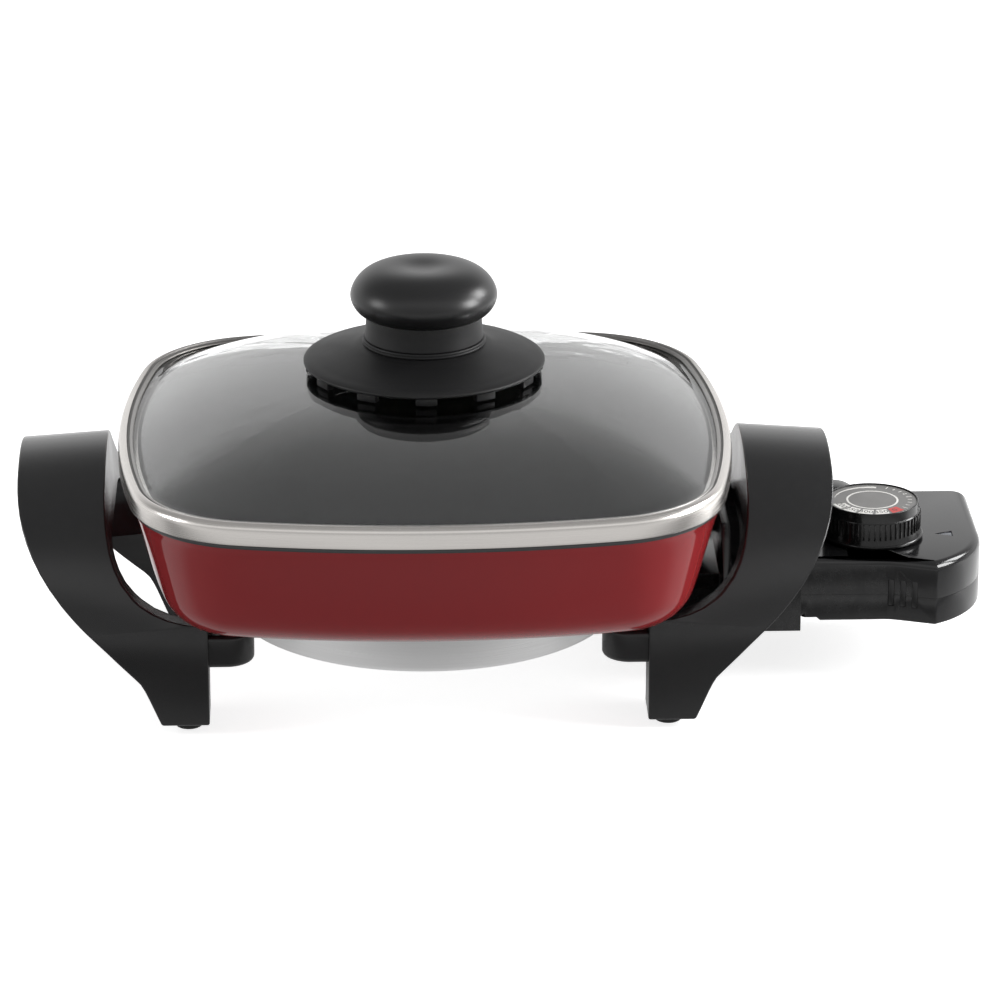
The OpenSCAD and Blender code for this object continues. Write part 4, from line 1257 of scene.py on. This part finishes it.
@dataclass
class HeatControl:
    """The two shells of the plug-in control, its pointer and its cord inlet."""

    x: Span = (132.5, 198.5)
    z: Span = (24.0, 47.3)
    seam_z: float = 33.9
    rear_y: float = 47.0
    step_x: float = 138.0
    top_round: float = 3.0
    nose_x: float = 108.0
    nose_y: float = 24.5
    nose_z: float = 25.4
    wall: float = 2.2
    dial_x: float = 159.5
    inlet_x: float = 150.4
    inlet_z: float = 40.3
    inlet_r: float = 10.5
    bush_r: float = 6.05
    lens_x: float = 185.4
    slot_x: tuple[float, ...] = (163.2, 167.2, 171.2)
    slot_w: float = 2.3
    screws: tuple[Point, ...] = ((142.9, 30.5), (184.0, 40.0), (170.0, -19.0))

    def _corners(self) -> list[tuple[Point, float]]:
        """The plan's corners, each with the radius of its rounding."""
        return [((self.x[0], -self.nose_y), 2), ((164, -self.nose_y), 12),
                ((179.6, -30), 1.5), ((self.x[1], -18.2), 37),
                ((self.x[1], self.rear_y), 6), ((self.x[0], self.rear_y), 7)]

    def _plan(self, inset: float) -> list[Point]:
        """The plan's outline, moved in by a wall.

        Args:
            inset: How far inside the outer face the outline lies.

        Returns:
            The points round the outline, with every corner rounded.
        """
        corners = self._corners()
        count = len(corners)
        moved = []
        for i, (corner, radius) in enumerate(corners):
            here = Vector(corner)
            u = (here - Vector(corners[i - 1][0])).normalized()
            v = (Vector(corners[(i + 1) % count][0]) - here).normalized()
            normals = Vector((-u.y - v.y, u.x + v.x))
            bulge = inset if u.cross(v) > 0 else -inset
            moved.append((here + normals * inset / (1 + u.dot(v)), max(radius - bulge, 0.3)))
        points = []
        for i, (here, radius) in enumerate(moved):
            u = (moved[i - 1][0] - here).normalized()
            v = (moved[(i + 1) % count][0] - here).normalized()
            half = u.angle(v) / 2
            centre = here + (u + v).normalized() * radius / math.sin(half)
            start = here + u * radius / math.tan(half) - centre
            end = here + v * radius / math.tan(half) - centre
            first = math.degrees(math.atan2(start.y, start.x))
            turn = math.degrees(math.atan2(end.y, end.x)) - first
            turn = (turn + 180) % 360 - 180
            points += arc((centre.x, centre.y), radius, first, first + turn,
                          20 if radius > 20 else 8)
        return points

    def build(self, bench: Bench, finishes: Finishes) -> None:
        """Makes the shells, the pointer and the inlet."""
        for lower in (False, True):
            self._shell(bench, finishes, lower)
        self._pointer(bench, finishes)
        self._inlet(bench, finishes)

    def _outside(self, bench: Bench) -> Piece:
        """The closed outer form of both shells together."""
        body = bench.prism("outside", self._plan(0), self.z)
        with editing(body):
            for height, width in zip(self.z, (0.9, self.top_round)):
                level = height * MM
                pick(body, Pick.EDGES, lambda e, z=level: all(abs(v.co.z - z) < WELD
                                                              for v in e.verts))
                bpy.ops.mesh.bevel(offset=width * MM, segments=6, affect="EDGES")
        step = bench.block("step", (self.x[0] - 3, self.step_x), (-60, 60),
                           (self.z[0] - 2, self.nose_z))
        for vertex in step.data.vertices:
            if vertex.co.z < self.z[0] * MM and vertex.co.x > bench.spot(self.step_x - 1, 0, 0).x:
                vertex.co.x += 3.6 * MM
        combine(body, step, Join.CUT)
        nose = bench.block("nose", (self.nose_x, self.x[0] + 6), (-self.nose_y, self.nose_y),
                           (self.nose_z, self.z[1]))
        bevel(nose, 2.2, 5)
        combine(body, nose, Join.ADD)
        barrel = bench.drum("barrel", (self.inlet_x, self.rear_y - 3, self.inlet_z),
                            self.inlet_r, 10, (90, 0, 0))
        bevel(barrel, 1.0, 4)
        combine(body, barrel, Join.ADD)
        return body

    def _hollow(self, bench: Bench) -> Piece:
        """The space inside the shells, less the posts of the three screws."""
        w = self.wall
        hollow = bench.prism("hollow", self._plan(w), (self.z[0] + w, self.z[1] - w))
        combine(hollow, bench.block("sill", (self.x[0], self.step_x + 1.8), (-60, 60),
                                    (self.z[0], self.nose_z + w)), Join.CUT)
        nose = bench.block("nose_room", (self.nose_x - 1, self.x[0] + 6),
                           (2 - self.nose_y, self.nose_y - 2), (self.nose_z + 2, self.z[1] - 2))
        combine(hollow, nose, Join.ADD)
        for x, y in self.screws:
            combine(hollow, bench.drum("post", (x, y, 36), 4.4, 30, sides=32), Join.CUT)
        return hollow

    def _shell(self, bench: Bench, finishes: Finishes, lower: bool) -> None:
        """One of the two shells.

        Args:
            bench: Where it is made.
            finishes: What it is painted from.
            lower: Whether it is the lower shell.
        """
        name = "control_base_shell" if lower else "control_top_shell"
        shell = self._outside(bench)
        shell.name = name
        shell.data.name = name
        seam = bench.spot(0, 0, self.seam_z)
        with editing(shell):
            bpy.ops.mesh.select_all(action="SELECT")
            bpy.ops.mesh.bisect(plane_co=seam, plane_no=(0, 0, 1), use_fill=True,
                                clear_inner=not lower, clear_outer=lower)
            pick(shell, Pick.EDGES, lambda e: all(abs(v.co.z - seam.z) < WELD for v in e.verts)
                 and any(abs(f.normal.z) < 0.5 for f in e.link_faces))
            bpy.ops.mesh.bevel(offset=0.1 * MM, segments=2, affect="EDGES")
        combine(shell, self._hollow(bench), Join.CUT)
        for x in self.slot_x:
            combine(shell, self._slot(bench, x), Join.CUT)
        if lower:
            for x, y in self.screws:
                combine(shell, bench.drum("well", (x, y, self.z[0] + 1), 3.3, 4, sides=32),
                        Join.CUT)
        else:
            combine(shell, bench.drum("dial_bore", (self.dial_x, 0, self.z[1]), 5, 8, sides=48),
                    Join.CUT)
            combine(shell, bench.prism("lens_room", self._lens_plan(0.05),
                                       (self.z[1] - 3, self.z[1] + 1)), Join.CUT)
        bore = bench.drum("bore", (self.inlet_x, self.rear_y - 4, self.inlet_z), self.bush_r, 16,
                          (90, 0, 0))
        combine(shell, bore, Join.CUT)
        node = "control_base" if lower else "control_top"
        finishes.complete(shell, finishes.CONTROL, 30, bench, Body.CONTROL, "control_plastic", node)

    def _slot(self, bench: Bench, x: float) -> Piece:
        """A very shallow upright pocket in the front wall, deepest along its left side."""
        start, end = Vector((164, -self.nose_y)), Vector((179.6, -30))
        flare = math.atan2(start.y - end.y, end.x - start.x)
        x1 = x + self.slot_w
        y1 = start.y - max(x1 - start.x, 0) * math.tan(flare)
        dip = math.atan2(0.3, self.slot_w)
        slot = bench.block("slot", (x, x1), (y1 - 4, y1 + 0.2),
                           (self.seam_z - 4.5, self.seam_z + 5.5))
        bevel(slot, 0.5, 3)
        corner = bench.spot(x1, y1, 0)
        turn = (Matrix.Translation(corner) @ Matrix.Rotation(-flare - dip, 4, "Z")
                @ Matrix.Translation(-corner))
        slot.data.transform(turn)
        return slot

    def _lens_plan(self, w: float) -> list[Point]:
        """The pointer's plan, w larger all round."""
        return [(self.lens_x - 3.2 - 2 * w, 0), (self.lens_x + 3 + w, -2.6 - 1.4 * w),
                (self.lens_x + 3 + w, 2.6 + 1.4 * w)]

    def _pointer(self, bench: Bench, finishes: Finishes) -> None:
        """The smoked lens that points at the dial and glows while the control heats."""
        lens = bench.prism("pointer", self._lens_plan(-0.02), (self.z[1] - 2.6, self.z[1] - 0.25))
        bevel(lens, 0.2, 2)
        finishes.complete(lens, finishes.LENS, 32, bench, Body.CONTROL,
                          "pointer_lens", "pilot_lens")

    def _inlet(self, bench: Bench, finishes: Finishes) -> None:
        """The rubber bush that the mains cord would come in by."""
        y0 = self.rear_y - 11
        y1 = self.rear_y + 2.05
        profile = [(3.6, y0), (5.9, y0), (6.0, y0 + 0.2), (6.0, y1), (7.9, y1), (8.4, y1 + 0.5),
                   (8.4, y1 + 1.5), (7.6, y1 + 2.4), (4.4, y1 + 2.4), (3.6, y1 + 1.8), (3.6, y0)]
        bush = bench.lathe("cord_bush", profile, steps=64)
        lay_back = Matrix.Rotation(math.radians(-90), 4, "X")
        shift = Matrix.Translation(bench.spot(self.inlet_x, 0, self.inlet_z))
        bush.data.transform(shift @ lay_back @ Matrix.Translation(-bench.origin))
        finishes.complete(bush, finishes.RUBBER, 35, bench, Body.CONTROL,
                          "black_rubber", "cord_inlet")


@dataclass
class Dial:
    """The ribbed dial with a printed disc let into its top."""

    x: float = 159.5
    foot_z: float = 47.6
    top_z: float = 60.9
    grip_r: float = 16.9
    ribs: int = 54
    print_z: float = 60.45
    plate_r: float = 15.8
    ring_r: Span = (8.6, 9.3)
    box_r: Span = (10.5, 14.9)
    box_turn: float = 10.2
    box_shear: float = 3.0
    first_box: float = 205.0
    box_step: float = 24.5
    labels: tuple[str, ...] = ("200", "250", "300", "350")

    def build(self, bench: Bench, finishes: Finishes) -> None:
        """Makes the grip, the disc and what is printed on it."""
        self._grip(bench, finishes)
        self._disc(bench, finishes)
        self._scale(bench, finishes)

    def _grip(self, bench: Bench, finishes: Finishes) -> None:
        """The round grip: a base ring, a ribbed band and a smooth crown."""
        z, r, top = self.foot_z, self.grip_r, self.top_z
        groove_z = z + 3.5
        band_z = z + 9.4
        profile = [(14, z + 0.25), (r + 0.9, z + 0.25), (r + 1.4, z + 0.7), (r + 1.4, z + 1.2),
                   (r + 1.15, z + 1.5), (r + 0.8, z + 1.55), (r + 0.8, z + 1.8),
                   (r, groove_z - 0.1), (r, band_z), (r - 0.35, band_z + 0.3),
                   (r - 0.4, top - 0.4)]
        profile += arc((r - 0.65, top - 0.25), 0.25, 20, 90, 3)
        profile += [(r - 0.8, top), (r - 0.95, top - 0.1), (r - 1.0, top - 1.2), (3.05, top - 1.2),
                    (3.05, z), (5.6, z), (5.6, z + 9), (14, z + 9), (14, z + 0.25)]
        grip = bench.lathe("dial_grip", profile, (self.x, 0), self.ribs * 3)
        axis = bench.spot(self.x, 0, 0)

        def in_groove(face: Any) -> bool:
            """Whether a face lies in one of the grooves between the ribs."""
            middle = face.calc_center_median() - axis
            if not groove_z * MM < middle.z < band_z * MM or middle.xy.length < (r - 1) * MM:
                return False
            turn = math.degrees(math.atan2(middle.y, middle.x)) % (360 / self.ribs)
            return turn < 120 / self.ribs

        with editing(grip):
            pick(grip, Pick.FACES, in_groove)
            bpy.ops.mesh.inset(thickness=0.06 * MM, use_individual=True)
            bpy.ops.mesh.extrude_region_shrink_fatten(
                TRANSFORM_OT_shrink_fatten={"value": 0.5 * MM})
        bevel(grip, 0.1, 2, 40)
        finishes.complete(grip, finishes.DIAL, 35, bench, Body.DIAL, "dial_plastic", "dial_knob")

    def _disc(self, bench: Bench, finishes: Finishes) -> None:
        """The printed disc's plain ground."""
        z = self.print_z
        profile = [(0, z - 0.5), (self.plate_r, z - 0.5), (self.plate_r, z - 0.05),
                   (self.plate_r - 0.05, z), (0, z)]
        disc = bench.lathe("dial_disc", profile, (self.x, 0), 96)
        finishes.complete(disc, finishes.PRINT, 32, bench, Body.DIAL, "dial_print", "dial_plate")

    def _band(self, name: str, bench: Bench, radii: Span, turns: Span, taper: float = 1.0,
              shear: float = 0.0) -> Piece:
        """A printed stretch of ring.

        Args:
            name: The piece's name.
            bench: Where it is made.
            radii: Inner and outer radius.
            turns: Start and end, in degrees anticlockwise from the pointer.
            taper: Share of the width that its end keeps.
            shear: Turn of its inner edge against its outer edge, in degrees.

        Returns:
            The stretch, as a film of ink.
        """
        steps = max(4, int(abs(turns[1] - turns[0]) / 5))
        outer = arc((self.x, 0), radii[1], turns[0], turns[1], steps)
        inner = []
        for i, (x, y) in enumerate(arc((0, 0), 1, turns[0] + shear, turns[1] + shear, steps)):
            width = (radii[1] - radii[0]) * (1 + (taper - 1) * i / steps)
            inner.append((self.x + x * (radii[1] - width), y * (radii[1] - width)))
        return bench.prism(name, outer + inner[::-1], (self.print_z - 0.05, self.print_z + 0.03))

    def _scale(self, bench: Bench, finishes: Finishes) -> None:
        """The ring, the number boxes, the rising band and the tick marks."""
        white = [self._ring(bench)]
        white.append(self._band("rise", bench, (12.1, 13.6), (78, 168), 0.12))
        for tick in range(9):
            turn = -38 + tick * 12.5
            white.append(self._band("tick", bench, (12.6, 14.2 if tick % 4 else 14.7),
                                    (turn - 0.7, turn + 0.7)))
        dark = []
        for index, label in enumerate(self.labels):
            turn = self.first_box + index * self.box_step
            white.append(self._band("box", bench, self.box_r,
                                    (turn - self.box_turn, turn + self.box_turn),
                                    shear=self.box_shear))
            dark.append(self._number(bench, label, turn))
        last = self.first_box + len(self.labels) * self.box_step
        red = self._band("dial_red_box", bench, self.box_r,
                         (last - self.box_turn, last + self.box_turn), shear=self.box_shear)
        dark.append(self._number(bench, "0", last))
        for name, pieces, finish in (("dial_white_print", white, finishes.WHITE_INK),
                                     ("dial_numbers", dark, finishes.BLACK_INK),
                                     ("dial_red_box", [red], finishes.RED_INK)):
            gather(pieces[0], pieces[1:])
            pieces[0].name = name
            pieces[0].data.name = name
            finishes.paint(pieces[0], finish)
            bench.place(pieces[0], Body.DIAL, "dial_print")

    def _ring(self, bench: Bench) -> Piece:
        """The plain ring round the disc's bare middle."""
        low, high = self.print_z - 0.05, self.print_z + 0.03
        r0, r1 = self.ring_r
        return bench.lathe("ring", [(r0, low), (r1, low), (r1, high), (r0, high), (r0, low)],
                           (self.x, 0), 96)

    def _number(self, bench: Bench, label: str, turn: float) -> Piece:
        """A number that reads from outside the dial.

        Args:
            bench: Where it is made.
            label: The number's digits.
            turn: Where it stands, in degrees anticlockwise from the pointer.

        Returns:
            The number, as a film of ink.
        """
        radius = sum(self.box_r) / 2
        angle = math.radians(turn)
        x = self.x + radius * math.cos(angle)
        y = radius * math.sin(angle)
        bpy.ops.object.select_all(action="DESELECT")
        bpy.ops.object.text_add(location=bench.spot(x, y, self.print_z + 0.03),
                                rotation=(0, 0, angle + math.pi / 2))
        text = bpy.context.active_object
        text.data.body = label
        text.data.size = 3.4 * MM
        text.data.align_x = "CENTER"
        text.data.align_y = "CENTER"
        text.data.extrude = 0.012 * MM
        bpy.ops.object.convert(target="MESH")
        return settle(bpy.context.active_object)


# ---------------------------------------------------------------- studio


@dataclass
class Studio:
    """The floor, the lights and the camera.

    Lights and surround are set for the skillet's own shapes: a plain level of soft light, white
    behind for the top faces to mirror, a dimmer room in front, and a box low at each side.
    """

    lens: float = 182.264
    sensor: float = 36.0
    camera_spot: tuple[float, float, float] = (-30.22, -1688.97, 681.75)
    camera_aim: tuple[float, float, float] = (26.69, 0.0, 61.99)
    floor_half: float = 6.0
    floor_glow: float = 0.80
    floor_tone: float = 0.82
    front_veil: float = 0.78
    mirrored_floor: tuple[Point, ...] = ((-0.45, 0.76), (-0.29, 0.74), (-0.24, 0.58),
                                         (-0.19, 0.40), (-0.14, 0.24), (-0.10, 0.30),
                                         (-0.075, 0.58), (-0.05, 0.62))
    ambient: float = 0.30
    sky: tuple[Point, ...] = ((0, 0.60), (20, 0.55), (34, 0.95), (46, 0.90), (62, 0.45),
                              (95, 0.40), (130, 0.35), (146, 0.60), (158, 1.0), (180, 1.0))

    def build(self, bench: Bench) -> None:
        """Sets up the whole studio."""
        self._floor()
        self._lights(bench)
        self._world()
        self._camera(bench)

    def _floor(self) -> None:
        """A pale floor that keeps the skillet's shadow and mirrors dimmer in front."""
        bpy.ops.object.select_all(action="DESELECT")
        bpy.ops.mesh.primitive_plane_add(size=2 * self.floor_half)
        floor = bpy.context.active_object
        floor.name = "studio_floor"
        material = bpy.data.materials.new("pale_floor")
        material.use_nodes = True
        nodes = Nodes(material.node_tree)
        material.node_tree.nodes.clear()
        place = nodes.add("SeparateXYZ", {0: nodes.add("TexCoord").outputs["Object"]}).outputs
        path = nodes.add("LightPath").outputs
        aside = nodes.fit_range(nodes.maths("ABSOLUTE", place[0]), (0.25, 0.8), (0.0, 0.45))
        behind = nodes.fit_range(place[1], (-0.1, 0.6), (0.10, 0.7))
        near, far = self.mirrored_floor[-1][0], self.mirrored_floor[0][0]
        stops = [((y - far) / (near - far), level) for y, level in self.mirrored_floor]
        in_front = nodes.fit_range(place[1], (near, 0.02), (1.0, 0.0))
        ahead = nodes.maths("MULTIPLY", in_front, nodes.ramp(
            nodes.fit_range(place[1], (far, near), (0.0, 1.0)), stops))
        seen = nodes.maths("MAXIMUM", nodes.maths("MAXIMUM", aside, behind), ahead)
        mirrored = nodes.maths("MULTIPLY", seen, path["Is Glossy Ray"])
        straight = nodes.maths("MAXIMUM", path["Is Camera Ray"], path["Is Transmission Ray"])
        lift = nodes.maths("MULTIPLY_ADD", straight, self.floor_glow, mirrored)
        glow = nodes.add("Emission", {"Color": (1.0, 1.0, 1.0, 1.0), "Strength": lift})
        veil = nodes.maths("MULTIPLY", nodes.maths("MULTIPLY", in_front, path["Is Glossy Ray"]),
                           self.front_veil)
        tone = nodes.maths("SUBTRACT", self.floor_tone, veil)
        grey = nodes.add("CombineColor", {0: tone, 1: tone, 2: tone})
        paint = nodes.add("BsdfDiffuse", {"Color": grey.outputs[0]})
        both = nodes.add("AddShader", {0: paint.outputs[0], 1: glow.outputs[0]})
        nodes.add("OutputMaterial", {"Surface": both.outputs[0]})
        floor.data.materials.append(material)

    def _lights(self, bench: Bench) -> None:
        """Soft boxes low at the sides and a broad one overhead."""
        boxes = (("left_box", (-620, -120, 300), 0.20, 0.9),
                 ("right_box", (620, -120, 300), 0.23, 2.6),
                 ("edge_box", (620, 180, 420), 0.22, 2.0),
                 ("top_box", (0, 250, 1500), 1.2, 6.0))
        for name, place, size, power in boxes:
            spot = bench.spot(*place)
            aim = bench.spot(0, 0, 60) - spot
            bpy.ops.object.light_add(type="AREA", location=spot,
                                     rotation=aim.to_track_quat("-Z", "Y").to_euler())
            lamp = bpy.context.active_object
            lamp.name = name
            lamp.data.shape = "SQUARE"
            lamp.data.size = size
            lamp.data.energy = power
            lamp.visible_glossy = lamp.visible_transmission = name != "top_box"

    def _world(self) -> None:
        """A white surround, shaded by direction for what mirrors it and dim as a light."""
        world = bpy.data.worlds.new("surround")
        world.use_nodes = True
        bpy.context.scene.world = world
        nodes = Nodes(world.node_tree)
        background = next(n for n in world.node_tree.nodes if n.type == "BACKGROUND")
        background.inputs["Color"].default_value = (1.0, 1.0, 1.0, 1.0)
        way = nodes.add("SeparateXYZ", {0: nodes.add("TexCoord").outputs["Generated"]}).outputs
        front = nodes.maths("MULTIPLY", way[1], -1.0)
        turn = nodes.fit_range(nodes.maths("ARCTAN2", way[2], front), (0.0, math.pi), (0.0, 1.0))
        ramp = nodes.ramp(turn, [(angle / 180, level) for angle, level in self.sky])
        path = nodes.add("LightPath").outputs
        mirrored = nodes.maths("MULTIPLY", ramp, path["Is Glossy Ray"])
        straight = nodes.maths("MAXIMUM", path["Is Camera Ray"], path["Is Transmission Ray"])
        shed = nodes.maths("MULTIPLY", path["Is Diffuse Ray"], self.ambient)
        strength = nodes.maths("ADD", nodes.maths("MAXIMUM", mirrored, straight), shed)
        nodes.tree.links.new(strength, background.inputs["Strength"])

    def _camera(self, bench: Bench) -> None:
        """The camera, a long lens a little above the lid."""
        spot = bench.spot(*self.camera_spot)
        aim = bench.spot(*self.camera_aim) - spot
        bpy.ops.object.camera_add(location=spot,
                                  rotation=aim.to_track_quat("-Z", "Y").to_euler())
        camera = bpy.context.active_object
        camera.name = "studio_camera"
        camera.data.lens = self.lens
        camera.data.sensor_width = self.sensor
        camera.data.clip_end = 20.0
        bpy.context.scene.camera = camera
        bpy.context.scene.view_settings.view_transform = "Standard"


def main() -> None:
    """Builds the skillet piece by piece."""
    logging.basicConfig(level=logging.INFO, format="%(name)s: %(message)s")
    bench = Bench()
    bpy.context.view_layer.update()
    finishes = Finishes(bench)
    finishes.dress_frame(bench)
    PanUnit().build(bench, finishes)
    Feet().build(bench, finishes)
    for side in (-1, 1):
        Handle(side).build(bench, finishes)
    SocketGuard().build(bench, finishes)
    Lid().build(bench, finishes)
    Knob().build(bench, finishes)
    HeatControl().build(bench, finishes)
    Dial().build(bench, finishes)
    Studio().build(bench)


if __name__ == "__main__":
    main()
